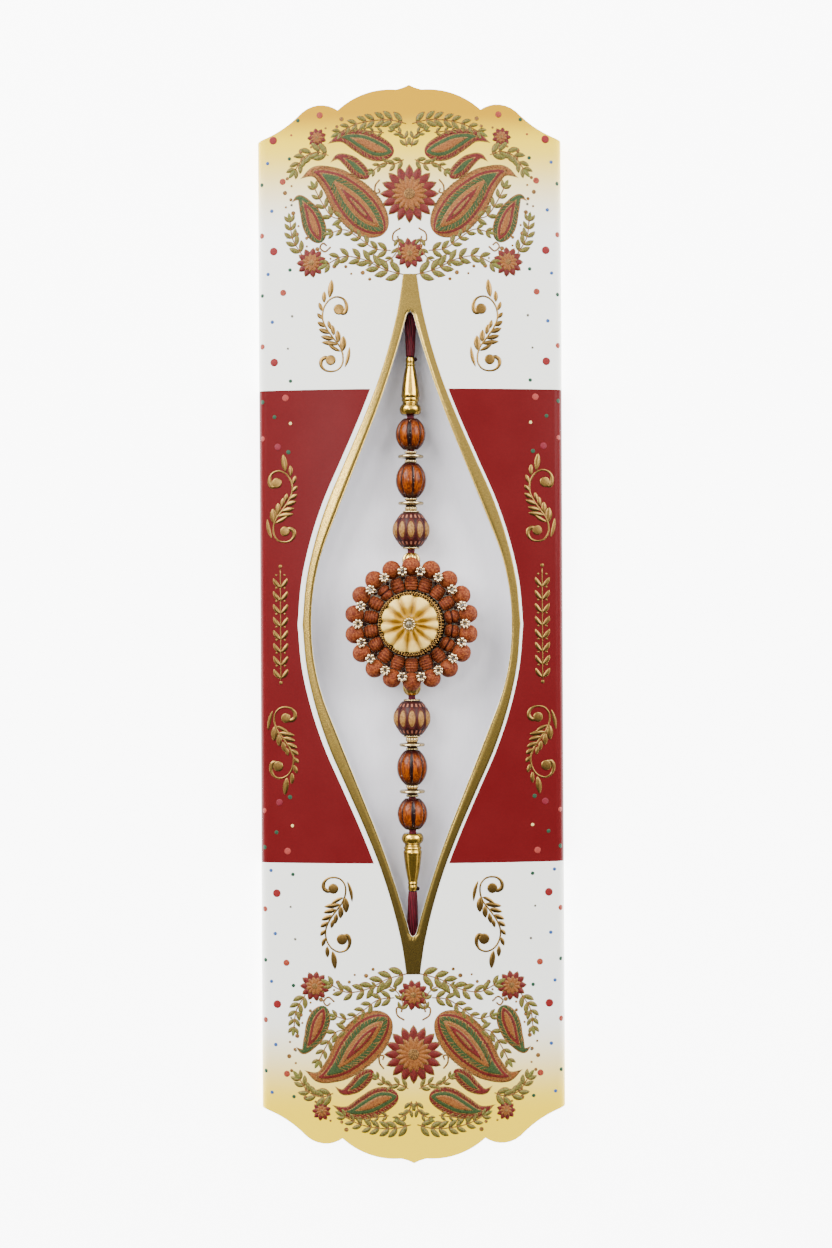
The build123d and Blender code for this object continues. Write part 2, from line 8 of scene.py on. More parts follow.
import bmesh
import bpy
import numpy as np
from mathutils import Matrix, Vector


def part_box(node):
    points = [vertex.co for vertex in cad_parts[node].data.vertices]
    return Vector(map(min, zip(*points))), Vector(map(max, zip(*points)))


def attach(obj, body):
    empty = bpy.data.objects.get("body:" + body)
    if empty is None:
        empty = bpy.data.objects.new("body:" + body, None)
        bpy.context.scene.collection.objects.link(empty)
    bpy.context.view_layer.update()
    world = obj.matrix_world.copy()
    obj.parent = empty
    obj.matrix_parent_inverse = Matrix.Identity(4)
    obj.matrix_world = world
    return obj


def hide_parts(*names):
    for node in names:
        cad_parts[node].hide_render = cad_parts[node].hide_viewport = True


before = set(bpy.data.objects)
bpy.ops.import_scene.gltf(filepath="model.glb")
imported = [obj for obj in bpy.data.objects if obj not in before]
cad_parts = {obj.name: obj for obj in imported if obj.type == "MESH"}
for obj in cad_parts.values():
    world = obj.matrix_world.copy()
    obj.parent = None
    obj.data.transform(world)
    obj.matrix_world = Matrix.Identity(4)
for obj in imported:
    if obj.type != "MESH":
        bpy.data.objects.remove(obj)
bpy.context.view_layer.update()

MM = 0.001


def node_box(name):
    """Lowest and highest corner of a CAD node, in millimetres."""
    low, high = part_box(name)
    return np.array(list(low)) / MM, np.array(list(high)) / MM


# Card sleeve, as the frame has it
front_low, front_high = node_box("card_front_panel")
back_low, back_high = node_box("card_back_panel")
card_width = front_high[0] - front_low[0]
card_length = back_high[1] - back_low[1]
card_height = front_high[2]
card_thickness = back_high[2] - back_low[2]
front_length = front_high[1] - front_low[1]
flap_z = front_low[2]
fold_radius = 2.2
flap_width = 4.0
scallop_depth = 11.7
window_half_length = 69.45
window_half_width = 22.3
foil_half_length = 77.8
foil_thickness = 0.06
red_band = (-53.2, 52.3)
yellow_start, yellow_full = 86.0, 111.0
margin_left, margin_right = 1.1, 0.6   # white left between the gold border and the red band

# Thread, strung pieces and medallion
string_low, string_high = node_box("stringing_thread")
string_z = (string_low[2] + string_high[2]) / 2
string_radius = (string_high[0] - string_low[0]) / 2
bore_radius = string_radius + 0.1
tie_diameter = 2.4
spoke_count = 18
outer_ring_radius = 12.8
outer_bead_radius = 1.95
outer_bead_z = node_box("outer_ring_beads")[1][2] - outer_bead_radius
inner_ring_radius = 9.1
inner_bead_radius = 1.45
inner_bead_length = 2.9
inner_bead_z = (node_box("inner_ring_beads")[0][2] + node_box("inner_ring_beads")[1][2]) / 2
base_top_z = node_box("medallion_base")[1][2]
daisy_ring_radius = 11.8
daisy_radius = 1.175
daisy_low_z = 10.33
plate_point_radius = 8.5
centre_tilt = math.radians(6.5)
bezel_base_radius = 7.2
bezel_rim_radius = 7.1
bezel_inner_radius = 6.45
flower_radius = 6.35
# How much fuller these pieces are made than the solids that they stand for
amber_fullness, gold_bead_fullness, outer_bead_fullness = 1.04, 1.14, 1.06
# Which way each end of the thread runs along Y
ENDS = {"upper": 1, "lower": -1}

# One end of the card, from its middle to a corner: arcs by middle and end point, across as a share of
# half the card's width, drop as a share of the scallop's depth.
SCALLOP_ARCS = [
    {"mid": (0.040, 0.055), "end": (0.085, 0.090)},
    {"mid": (0.250, 0.128), "end": (0.468, 0.462)},
    {"mid": (0.576, 0.355), "end": (0.720, 0.530)},
    {"mid": (0.860, 0.830), "end": (1.000, 1.000)},
]
# One quarter of the window, from its widest place to its tip: along as a share of half its length,
# across as a share of half its width. A run without a middle point is straight.
WINDOW_RUNS = [
    {"mid": (0.155, 0.953), "end": (0.302, 0.809)},
    {"mid": None, "end": (0.648, 0.377)},
    {"mid": (0.847, 0.160), "end": (0.985, 0.036)},
    {"mid": (0.996, 0.018), "end": (1.000, 0.000)},
]
# Outer edge of the gold border: distance along the card, and half its width there.
FOIL_EDGE = np.array([
    (0.0, 24.3), (9.7, 23.4), (18.6, 21.4), (27.6, 18.4), (36.5, 14.5), (45.4, 10.6), (54.3, 7.1),
    (63.2, 4.35), (72.2, 2.3), (77.8, 1.5),
])
# Free end of the thread, from the ferrule's mouth to the bare end. The lower one is at -X and -Y.
TIE_ROUTE = np.array([
    (0.0, 59.8, 4.70), (0.1, 69.4, 4.60), (0.5, 79.3, 2.90),
    (-0.3, 89.8, 1.85), (-0.6, 100.3, 1.75), (0.3, 109.7, 1.80),
])


# Shapes

class Shape:
    """Points in millimetres, faces as rows of point numbers, and named values for each point."""

    def __init__(self, points, faces, **marks):
        self.points = np.asarray(points, float)
        self.faces = [list(map(int, face)) for face in faces]
        self.marks = {key: np.broadcast_to(value, len(self.points)) for key, value in marks.items()}

    def turned(self, matrix):
        """The shape with every point multiplied by a 3 by 3 matrix."""
        return Shape(self.points @ np.asarray(matrix).T, self.faces, **self.marks)

    def moved(self, *offset):
        return Shape(self.points + np.array(offset), self.faces, **self.marks)

    def marked(self, **marks):
        return Shape(self.points, self.faces, **{**self.marks, **marks})


def joined(shapes):
    """Several shapes as one, with the point numbers of each carried on."""
    shapes = list(shapes)
    starts = np.cumsum([0] + [len(shape.points) for shape in shapes[:-1]])
    faces = [[start + n for n in face] for start, shape in zip(starts, shapes) for face in shape.faces]
    marks = {key: np.concatenate([shape.marks[key] for shape in shapes]) for key in shapes[0].marks}
    return Shape(np.concatenate([shape.points for shape in shapes]), faces, **marks)


def rotation(axis, degrees):
    """Right-handed turn about x, y or z."""
    c, s = math.cos(math.radians(degrees)), math.sin(math.radians(degrees))
    first, second = {"x": (1, 2), "y": (2, 0), "z": (0, 1)}[axis]
    matrix = np.eye(3)
    matrix[first, first] = matrix[second, second] = c
    matrix[first, second], matrix[second, first] = -s, s
    return matrix


def grid_faces(rows, columns, loop_rows=False, loop_columns=False):
    """Quads between neighbours of a grid that is numbered row by row."""
    row = np.arange(rows if loop_rows else rows - 1)[:, None]
    column = np.arange(columns if loop_columns else columns - 1)[None, :]
    next_row, next_column = (row + 1) % rows, (column + 1) % columns
    corners = [row * columns + column, row * columns + next_column,
               next_row * columns + next_column, next_row * columns + column]
    return np.stack(np.broadcast_arrays(*corners), axis=-1).reshape(-1, 4)


def skin(points, loop_rows=False, **marks):
    """A closed surface from a grid of points (row, column, xyz) whose columns run all the way round."""
    rows, columns = points.shape[:2]
    faces = grid_faces(rows, columns, loop_rows, True).tolist()
    if not loop_rows:
        faces.append(list(range(columns))[::-1])
        faces.append(list(range((rows - 1) * columns, rows * columns)))
    flat = {key: np.broadcast_to(value, (rows, columns)).ravel() for key, value in marks.items()}
    return Shape(points.reshape(-1, 3), faces, **flat)


def lathe(profile, segments, relief=0.0, loop=False, **marks):
    """Turn a profile of (radius, height) about Z; relief is added to the radius, point by point.

    x = (r + relief) cos a, y = (r + relief) sin a, z = h. The profile runs upwards on the outside.
    """
    angle = np.arange(segments) * 2 * math.pi / segments
    radius = profile[:, :1] + relief + np.zeros((len(profile), segments))
    height = np.broadcast_to(profile[:, 1:], radius.shape)
    points = np.stack([radius * np.cos(angle), radius * np.sin(angle), height], axis=-1)
    return skin(points, loop_rows=loop, **marks)


def circle_through(a, b, c):
    """Centre and radius of the circle through three points of a plane."""
    (ax, ay), (bx, by), (cx, cy) = a, b, c
    d = 2 * (ax * (by - cy) + bx * (cy - ay) + cx * (ay - by))
    a2, b2, c2 = ax**2 + ay**2, bx**2 + by**2, cx**2 + cy**2
    x = (a2 * (by - cy) + b2 * (cy - ay) + c2 * (ay - by)) / d
    y = (a2 * (cx - bx) + b2 * (ax - cx) + c2 * (bx - ax)) / d
    return x, y, math.hypot(ax - x, ay - y)


def arc(a, b, c, count):
    """Points on the circle from a through b to c, evenly spaced, without the last one."""
    x, y, radius = circle_through(a, b, c)
    angles = np.unwrap([math.atan2(p[1] - y, p[0] - x) for p in (a, b, c)])
    turn = np.linspace(angles[0], angles[2], count, endpoint=False)
    return np.stack([x + radius * np.cos(turn), y + radius * np.sin(turn)], axis=-1)


def arc_height(a, b, c, x):
    """The second coordinate of the arc from a through b to c, where its first one is x."""
    cx, cy, radius = circle_through(a, b, c)
    side = 1.0 if b[1] > cy else -1.0
    return cy + side * np.sqrt(np.maximum(radius**2 - (x - cx) ** 2, 0.0))


def curve_through(knots, x):
    """Cubic between knots (x, y); the slope at a knot comes from its two neighbours."""
    kx, ky = knots[:, 0], knots[:, 1]
    slope = np.gradient(ky, kx)
    n = np.clip(np.searchsorted(kx, x, side="right") - 1, 0, len(kx) - 2)
    step = kx[n + 1] - kx[n]
    t = np.clip((x - kx[n]) / step, 0.0, 1.0)
    start = (1 + 2 * t) * (1 - t) ** 2 * ky[n] + t * (1 - t) ** 2 * step * slope[n]
    stop = t**2 * (3 - 2 * t) * ky[n + 1] + t**2 * (t - 1) * step * slope[n + 1]
    return start + stop


def smooth_path(points, count):
    """A smooth plane curve through points, evenly spaced: a cubic in the summed distance."""
    points = np.asarray(points, float)
    place = np.concatenate([[0], np.cumsum(np.hypot(*np.diff(points, axis=0).T))])
    dense = np.linspace(0, place[-1], 12 * len(points))
    knots = [np.stack([place, points[:, k]], axis=-1) for k in (0, 1)]
    line = np.stack([curve_through(knot, dense) for knot in knots], axis=-1)
    run = np.concatenate([[0], np.cumsum(np.hypot(*np.diff(line, axis=0).T))])
    even = np.linspace(0, run[-1], count)
    return np.stack([np.interp(even, run, line[:, 0]), np.interp(even, run, line[:, 1])], axis=-1)


def add_piece(name, shape, materials, replaces=()):
    """Make the mesh object in metres, let it ride on the body, and hide the CAD parts that it stands for."""
    mesh = bpy.data.meshes.new(name)
    mesh.from_pydata((shape.points * MM).tolist(), [], shape.faces)
    for key, value in shape.marks.items():
        mesh.attributes.new(key, "FLOAT", "POINT").data.foreach_set("value", np.ascontiguousarray(value))
    mesh.polygons.foreach_set("use_smooth", [True] * len(mesh.polygons))
    for material in materials if isinstance(materials, (list, tuple)) else [materials]:
        mesh.materials.append(material)
    mesh.update()
    piece = bpy.data.objects.new(name, mesh)
    bpy.context.scene.collection.objects.link(piece)
    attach(piece, "root")
    if replaces:
        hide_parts(*replaces)
    return piece


# Finishes

def srgb(red, green, blue):
    """A linear colour from 0 to 255 display values."""
    values = np.array([red, green, blue]) / 255
    linear = np.where(values <= 0.04045, values / 12.92, ((values + 0.055) / 1.055) ** 2.4)
    return (*linear.tolist(), 1.0)


class Graph:
    """Adds nodes to a node tree and joins them."""

    def __init__(self, tree):
        self.tree = tree

    def add(self, kind, inputs=None, **settings):
        node = self.tree.nodes.new(kind)
        for key, value in settings.items():
            setattr(node, key, value)
        for key, value in (inputs or {}).items():
            self.put(node.inputs[key], value)
        return node

    def put(self, socket, value):
        if isinstance(value, bpy.types.NodeSocket):
            self.tree.links.new(value, socket)
        else:
            socket.default_value = value

    def math(self, operation, *values):
        node = self.add("ShaderNodeMath", operation=operation)
        for socket, value in zip(node.inputs, values):
            self.put(socket, value)
        return node.outputs[0]

    def ramp(self, value, low, high, start=0.0, stop=1.0):
        """Value eased from low..high to start..stop, and held beyond them."""
        node = self.add("ShaderNodeMapRange", {"Value": value, "From Min": low, "From Max": high,
                                               "To Min": start, "To Max": stop})
        node.interpolation_type = "SMOOTHSTEP"
        return node.outputs[0]

    def mix(self, mask, first, second):
        """The first colour, turning into the second where the mask is 1."""
        node = self.add("ShaderNodeMix", data_type="RGBA")
        for index, value in ((0, mask), (6, first), (7, second)):
            self.put(node.inputs[index], value)
        return node.outputs[2]

    def mark(self, name):
        """A value that the mesh keeps for each point."""
        return self.add("ShaderNodeAttribute", attribute_name=name).outputs["Fac"]

    def place_mm(self):
        """The point's place on the object, in millimetres."""
        place = self.add("ShaderNodeTexCoord").outputs["Object"]
        return self.add("ShaderNodeVectorMath", {0: place, "Scale": 1 / MM}, operation="SCALE").outputs[0]

    def group(self, tree, **inputs):
        return self.add("ShaderNodeGroup", inputs, node_tree=tree).outputs


def new_group(name, inputs, outputs):
    """An empty shared effect with number inputs and typed outputs."""
    tree = bpy.data.node_groups.new(name, "ShaderNodeTree")
    for key, value in inputs.items():
        kind = "NodeSocketVector" if isinstance(value, tuple) else "NodeSocketFloat"
        tree.interface.new_socket(key, in_out="INPUT", socket_type=kind).default_value = value
    for key, kind in outputs.items():
        tree.interface.new_socket(key, in_out="OUTPUT", socket_type=kind)
    graph = Graph(tree)
    return graph, graph.add("NodeGroupInput").outputs, graph.add("NodeGroupOutput").inputs


def mottle_group():
    """Cloudy mask: noise on the stretched place, cut between two levels."""
    graph, given, out = new_group(
        "mottle", {"Scale": 1.0, "Stretch": (1.0, 1.0, 1.0), "Low": 0.35, "High": 0.65, "Detail": 3.0},
        {"Mask": "NodeSocketFloat"},
    )
    place = graph.add("ShaderNodeVectorMath", {0: graph.place_mm(), 1: given["Stretch"]},
                      operation="MULTIPLY").outputs[0]
    noise = graph.add("ShaderNodeTexNoise", {"Vector": place, "Scale": given["Scale"],
                                             "Detail": given["Detail"]}).outputs["Fac"]
    graph.put(out["Mask"], graph.ramp(noise, given["Low"], given["High"]))
    return graph.tree


def grain_group():
    """Fine uneven surface: noise on the stretched place, through a bump."""
    graph, given, out = new_group(
        "grain", {"Scale": 4.0, "Stretch": (1.0, 1.0, 1.0), "Height": 0.02, "Strength": 0.5},
        {"Normal": "NodeSocketVector"},
    )
    place = graph.add("ShaderNodeVectorMath", {0: graph.place_mm(), 1: given["Stretch"]},
                      operation="MULTIPLY").outputs[0]
    noise = graph.add("ShaderNodeTexNoise", {"Vector": place, "Scale": given["Scale"],
                                             "Detail": 4.0}).outputs["Fac"]
    height = graph.math("MULTIPLY", noise, graph.math("MULTIPLY", given["Height"], MM))
    bump = graph.add("ShaderNodeBump", {"Height": height, "Strength": given["Strength"], "Distance": 1.0})
    graph.put(out["Normal"], bump.outputs[0])
    return graph.tree


MOTTLE = mottle_group()
GRAIN = grain_group()


def new_finish(name, color, roughness, **sockets):
    """A Principled material; returns it with its graph and shader."""
    material = bpy.data.materials.new(name)
    material.use_nodes = True
    shader = material.node_tree.nodes["Principled BSDF"]
    graph = Graph(material.node_tree)
    graph.put(shader.inputs["Base Color"], color)
    graph.put(shader.inputs["Roughness"], roughness)
    for key, value in sockets.items():
        graph.put(shader.inputs[key.replace("_", " ")], value)
    return material, graph, shader


def gold_finish(name, bright, dark, roughness, wear_scale=2.0, wear=0.35, edges=0.0):
    """Plated metal: a little cloudy, finely uneven, with painted shade in its hollows, where a mark says, and
    at its edges, standing for the dark surroundings that they reflect.
    """
    material, graph, shader = new_finish(name, bright, roughness, Metallic=1.0)
    cloud = graph.group(MOTTLE, Scale=wear_scale, Low=0.3, High=0.75)["Mask"]
    color = graph.mix(graph.math("MULTIPLY", cloud, wear), bright, dark)
    if edges:
        # Painted shade: the edges that turn away from the camera are darkened, as if they reflected dark
        # surroundings.
        facing = graph.add("ShaderNodeLayerWeight", {"Blend": 0.5}).outputs["Facing"]
        color = graph.mix(graph.ramp(facing, 0.25, 0.75, 0.0, edges), color, dark)
    # Painted shade in the hollows that the mark gives; they are rougher there too.
    color = graph.mix(graph.mark("hollow"), color, dark)
    graph.put(shader.inputs["Roughness"], graph.ramp(graph.mark("hollow"), 0, 1, roughness, 0.6))
    graph.put(shader.inputs["Base Color"], color)
    graph.put(shader.inputs["Normal"], graph.group(GRAIN, Scale=3.0, Height=0.02, Strength=0.35)["Normal"])
    return material


def foil_finish():
    """Hot gold foil: fine speckle, a brown line of painted shade along the crease and a pale painted
    highlight on the lip beside the window's edge.
    """
    gold, worn = srgb(164, 138, 70), srgb(134, 108, 52)
    material, graph, shader = new_finish("foil_gold", gold, 0.2, Metallic=1.0)
    speckle = graph.group(MOTTLE, Scale=4.5, Low=0.38, High=0.62, Detail=3.0)["Mask"]
    color = graph.mix(graph.math("MULTIPLY", speckle, 0.6), gold, worn)
    # Painted shade: a dark brown line along the crease of the embossing.
    color = graph.mix(graph.mark("crease"), color, srgb(64, 42, 14))
    # Painted highlight: a pale line along the raised lip.
    color = graph.mix(graph.mark("lip"), color, srgb(216, 192, 124))
    graph.put(shader.inputs["Base Color"], color)
    graph.put(shader.inputs["Roughness"], graph.ramp(speckle, 0, 1, 0.15, 0.23))
    graph.put(shader.inputs["Normal"], graph.group(GRAIN, Scale=9.0, Height=0.02, Strength=0.4)["Normal"])
    return material


def printed_card_finish():
    """White card with a red band, ends that fade into yellow, warmer at the upper tip, and a white
    margin round the gold border. Yellow share = 1 - (1 - u)^1.5, u from 0 at its start to 1."""
    white, red = srgb(246, 247, 240), srgb(90, 14, 17)
    lemon, warm_yellow = srgb(242, 206, 0), srgb(190, 142, 0)
    material, graph, shader = new_finish("printed_card", white, 0.3, Specular_IOR_Level=0.08)
    along = graph.add("ShaderNodeSeparateXYZ", {0: graph.place_mm()}).outputs["Y"]
    in_band = graph.math("MULTIPLY", graph.math("GREATER_THAN", along, red_band[0]),
                         graph.math("LESS_THAN", along, red_band[1]))
    past_margin = graph.math("GREATER_THAN", graph.mark("past_margin"), 0.0)
    ink = graph.group(MOTTLE, Scale=0.12, Low=0.2, High=0.8)["Mask"]
    grains = graph.group(MOTTLE, Scale=3.0, Low=0.35, High=0.65)["Mask"]
    red_ink = graph.mix(graph.math("MULTIPLY", ink, 0.6), red, srgb(97, 21, 23))
    red_ink = graph.mix(graph.math("MULTIPLY", grains, 0.15), red_ink, srgb(62, 10, 13))
    left = graph.ramp(graph.math("ABSOLUTE", along), yellow_start, yellow_full, 1.0, 0.0)
    yellow = graph.mix(graph.ramp(along, yellow_full - 4.0, card_length / 2 - 6.0), lemon, warm_yellow)
    color = graph.mix(graph.math("POWER", left, 1.5), yellow, white)
    color = graph.mix(graph.math("MULTIPLY", in_band, past_margin), color, red_ink)
    graph.put(shader.inputs["Base Color"], color)
    graph.put(shader.inputs["Normal"], graph.group(GRAIN, Scale=1.2, Height=0.012, Strength=0.25)["Normal"])
    return material


def back_leaf_finish():
    """White inside, dark red beneath, at the cut edges and where it shows past the front leaf."""
    white, red = srgb(238, 237, 243), srgb(92, 14, 18)
    material, graph, shader = new_finish("back_leaf", white, 0.7, Specular_IOR_Level=0.2)
    place = graph.add("ShaderNodeSeparateXYZ", {0: graph.place_mm()})
    fibre = graph.group(MOTTLE, Scale=1.5, Stretch=(1.0, 0.25, 1.0), Low=0.3, High=0.8)["Mask"]
    inside = graph.mix(graph.math("MULTIPLY", fibre, 0.3), white, srgb(223, 223, 230))
    beneath = graph.math("LESS_THAN", place.outputs["Z"], card_thickness * 0.85)
    past = graph.math("GREATER_THAN", graph.mark("past_front"), -0.35)
    graph.put(shader.inputs["Base Color"], graph.mix(graph.math("MAXIMUM", beneath, past), inside, red))
    graph.put(shader.inputs["Normal"], graph.group(GRAIN, Scale=6.0, Height=0.02, Strength=0.3)["Normal"])
    return material


def plain_card_finish(name, color, shade):
    """Uncoated card, cloth or thread with faint fibres."""
    material, graph, shader = new_finish(name, color, 0.75, Specular_IOR_Level=0.12)
    fibre = graph.group(MOTTLE, Scale=1.5, Stretch=(1.0, 0.25, 1.0), Low=0.3, High=0.8)["Mask"]
    graph.put(shader.inputs["Base Color"], graph.mix(graph.math("MULTIPLY", fibre, 0.4), color, shade))
    graph.put(shader.inputs["Normal"], graph.group(GRAIN, Scale=6.0, Height=0.02, Strength=0.4)["Normal"])
    return material


def ink_finish(name, color, shade, glitter=0.0, roughness=0.5):
    """Printed colour with grainy shade; glitter says how metallic the sparks in it are."""
    material, graph, shader = new_finish(name, color, roughness, Specular_IOR_Level=0.25)
    grains = graph.group(MOTTLE, Scale=4.5, Low=0.42, High=0.6, Detail=2.0)["Mask"]
    graph.put(shader.inputs["Base Color"], graph.mix(grains, color, shade))
    if glitter:
        sparks = graph.group(MOTTLE, Scale=7.0, Low=0.52, High=0.6, Detail=1.0)["Mask"]
        graph.put(shader.inputs["Metallic"], graph.math("MULTIPLY", sparks, glitter))
    graph.put(shader.inputs["Normal"], graph.group(GRAIN, Scale=6.0, Height=0.08, Strength=0.7)["Normal"])
    return material


def thread_finish():
    """Silky maroon strands: light and dark run along the strand, and painted shade fills the grooves between
    the strands.
    """
    material, graph, shader = new_finish("maroon_silk", srgb(70, 11, 22), 0.5, Sheen_Weight=0.04,
                                         Specular_IOR_Level=0.15)
    hairs = graph.group(MOTTLE, Scale=5.0, Stretch=(1.0, 0.08, 1.0), Low=0.35, High=0.65)["Mask"]
    lit = graph.mix(hairs, srgb(66, 10, 21), srgb(108, 22, 36))
    # Painted shade: nearly black in the grooves between the strands.
    graph.put(shader.inputs["Base Color"], graph.mix(graph.mark("strand"), lit, srgb(22, 3, 7)))
    graph.put(shader.inputs["Normal"],
              graph.group(GRAIN, Scale=6.0, Stretch=(1.0, 0.1, 1.0), Height=0.05, Strength=0.6)["Normal"])
    return material


def amber_finish():
    """Orange-brown resin with fine lengthwise streaks, dark grooves and ends, painted shade at its rims, and
    small painted glints in its dark band.
    """
    material, graph, shader = new_finish("amber_resin", srgb(126, 58, 8), 0.22, Specular_IOR_Level=0.16)
    streaks = graph.group(MOTTLE, Scale=2.0, Stretch=(2.2, 0.16, 2.2), Low=0.36, High=0.62)["Mask"]
    sparks = graph.group(MOTTLE, Scale=4.0, Stretch=(1.0, 0.4, 1.0), Low=0.55, High=0.68)["Mask"]
    color = graph.mix(streaks, srgb(140, 64, 6), srgb(78, 27, 5))
    color = graph.mix(graph.math("MULTIPLY", sparks, 0.4), color, srgb(184, 100, 16))
    # Painted shade: the rims, which turn away from the camera, are darkened.
    rim = graph.add("ShaderNodeLayerWeight", {"Blend": 0.5}).outputs["Facing"]
    color = graph.mix(graph.ramp(rim, 0.28, 0.75), color, srgb(52, 14, 8))
    color = graph.mix(graph.mark("end"), color, srgb(40, 10, 9))
    # Painted glints: small pale specks in the dark band.
    glints = graph.group(MOTTLE, Scale=2.6, Stretch=(1.0, 0.8, 1.0), Low=0.66, High=0.72)["Mask"]
    band = graph.mix(glints, srgb(26, 8, 9), srgb(196, 170, 140))
    graph.put(shader.inputs["Base Color"], graph.mix(graph.mark("groove"), color, band))
    return material


def brown_bead_finish():
    """Dark maroon-brown resin, ivory ovals framed in red-brown, and rows of pale end marks."""
    material, graph, shader = new_finish("carved_brown", srgb(40, 11, 11), 0.42, Specular_IOR_Level=0.2)
    cloud = graph.group(MOTTLE, Scale=2.4, Low=0.3, High=0.7)["Mask"]
    color = graph.mix(cloud, srgb(36, 9, 10), srgb(60, 20, 18))
    color = graph.mix(graph.mark("frame"), color, srgb(78, 28, 19))
    color = graph.mix(graph.mark("notch"), color, srgb(150, 94, 72))
    veins = graph.group(MOTTLE, Scale=2.4, Low=0.35, High=0.7)["Mask"]
    ivory = graph.mix(veins, srgb(156, 113, 56), srgb(112, 75, 36))
    graph.put(shader.inputs["Base Color"], graph.mix(graph.mark("oval"), color, ivory))
    graph.put(shader.inputs["Normal"], graph.group(GRAIN, Scale=4.0, Height=0.04, Strength=0.4)["Normal"])
    return material


def ring_bead_finish():
    """Mottled red-brown beads with painted shade in their grooves, each with a tone of its own."""
    material, graph, shader = new_finish("red_brown_bead", srgb(106, 44, 22), 0.5, Specular_IOR_Level=0.1)
    coarse = graph.group(MOTTLE, Scale=1.1, Low=0.3, High=0.7)["Mask"]
    fine = graph.group(MOTTLE, Scale=2.6, Low=0.4, High=0.62, Detail=4.0)["Mask"]
    color = graph.mix(coarse, srgb(112, 48, 22), srgb(86, 32, 18))
    color = graph.mix(graph.math("MULTIPLY", fine, 0.75), color, srgb(152, 82, 42))
    specks = graph.group(MOTTLE, Scale=3.4, Stretch=(1.3, 1.0, 0.8), Low=0.56, High=0.66)["Mask"]
    color = graph.mix(graph.math("MULTIPLY", specks, 0.6), color, srgb(60, 16, 12))
    color = graph.mix(graph.mark("tone"), color, srgb(66, 18, 13))
    # Painted shade in the grooves and at the barrels' ends.
    color = graph.mix(graph.mark("groove"), color, srgb(46, 12, 9))
    graph.put(shader.inputs["Base Color"], color)
    graph.put(shader.inputs["Normal"], graph.group(GRAIN, Scale=2.4, Height=0.16, Strength=0.9)["Normal"])
    return material


def flower_finish():
    """Ivory resin with an ochre wash in the grooves and round the heart."""
    material, graph, shader = new_finish("ivory_resin", srgb(240, 203, 100), 0.4, Specular_IOR_Level=0.3)
    cloud = graph.group(MOTTLE, Scale=1.2, Low=0.35, High=0.75)["Mask"]
    ivory = graph.mix(graph.math("MULTIPLY", cloud, 0.45), srgb(244, 210, 116), srgb(214, 166, 56))
    washed = graph.mix(graph.mark("wash"), ivory, srgb(164, 120, 14))
    graph.put(shader.inputs["Base Color"], graph.mix(graph.mark("groove"), washed, srgb(106, 70, 10)))
    graph.put(shader.inputs["Normal"], graph.group(GRAIN, Scale=2.2, Height=0.04, Strength=0.35)["Normal"])
    return material


def stone_finish():
    """Polished grey-brown stone with faint clouds."""
    material, graph, shader = new_finish("grey_stone", srgb(120, 106, 78), 0.12, Coat_Weight=0.6)
    cloud = graph.group(MOTTLE, Scale=2.5, Low=0.35, High=0.65)["Mask"]
    graph.put(shader.inputs["Base Color"], graph.mix(cloud, srgb(132, 118, 84), srgb(66, 54, 40)))
    return material


def floor_finish():
    """Plain pale studio floor, with a glow of its own that keeps it white."""
    material, graph, shader = new_finish("studio_floor", srgb(252, 252, 252), 0.9, Emission_Strength=7.0)
    shader.inputs["Emission Color"].default_value = srgb(255, 255, 255)
    cloud = graph.group(MOTTLE, Scale=0.02, Low=0.3, High=0.7)["Mask"]
    graph.put(shader.inputs["Base Color"], graph.mix(cloud, srgb(252, 252, 252), srgb(249, 249, 250)))
    return material


# Each metal's edges value is how strongly painted shade darkens its edges.
POLISHED_GOLD = gold_finish("polished_gold", srgb(226, 184, 76), srgb(62, 40, 12), 0.17, edges=0.85)
PALE_GOLD = gold_finish("pale_gold", srgb(234, 208, 152), srgb(52, 36, 18), 0.25, edges=0.6)
BRIGHT_PALE = gold_finish("bright_pale_gold", srgb(246, 222, 180), srgb(66, 42, 20), 0.22, wear=0.25,
                          edges=0.45)
BEAD_GOLD = gold_finish("bead_gold", srgb(234, 196, 108), srgb(72, 48, 18), 0.24, edges=0.5)
ANTIQUE_GOLD = gold_finish("antique_gold", srgb(176, 136, 76), srgb(34, 20, 8), 0.32, edges=0.5)
FOIL_GOLD = foil_finish()
SATIN_GOLD = gold_finish("satin_gold", srgb(136, 106, 56), srgb(90, 66, 32), 0.3, wear_scale=4.5,
                         wear=0.6)
PRINTED_CARD = printed_card_finish()
BACK_LEAF = back_leaf_finish()
WHITE_CARD = plain_card_finish("white_card", srgb(232, 232, 232), srgb(222, 222, 224))
MAROON_SILK = thread_finish()
AMBER = amber_finish()
CARVED_BROWN = brown_bead_finish()
RED_BROWN = ring_bead_finish()
IVORY = flower_finish()
GREY_STONE = stone_finish()
PALE_BASE = plain_card_finish("pale_cloth", srgb(206, 196, 176), srgb(150, 140, 120))
# Dark thread for the stitch knots, and for the painted shadow beside each ferrule's mouth.
DARK_KNOT = plain_card_finish("dark_thread_knot", srgb(34, 14, 10), srgb(18, 8, 6))


# Free ends of the thread

def route_line(points, name):
    """The smooth line that a cord follows, read from the NURBS spline of its route, in millimetres."""
    curve = bpy.data.curves.new(name, "CURVE")
    curve.dimensions = "3D"
    curve.resolution_u = 16
    spline = curve.splines.new("NURBS")
    spline.points.add(len(points) - 1)
    for point, place in zip(spline.points, points):
        point.co = (*(place * MM), 1.0)
    spline.order_u = 3
    spline.use_endpoint_u = True
    holder = bpy.data.objects.new(name, curve)
    mesh = bpy.data.meshes.new_from_object(holder)
    line = np.zeros(3 * len(mesh.vertices))
    mesh.vertices.foreach_get("co", line)
    bpy.data.objects.remove(holder)
    bpy.data.meshes.remove(mesh)
    bpy.data.curves.remove(curve)
    return line.reshape(-1, 3) / MM


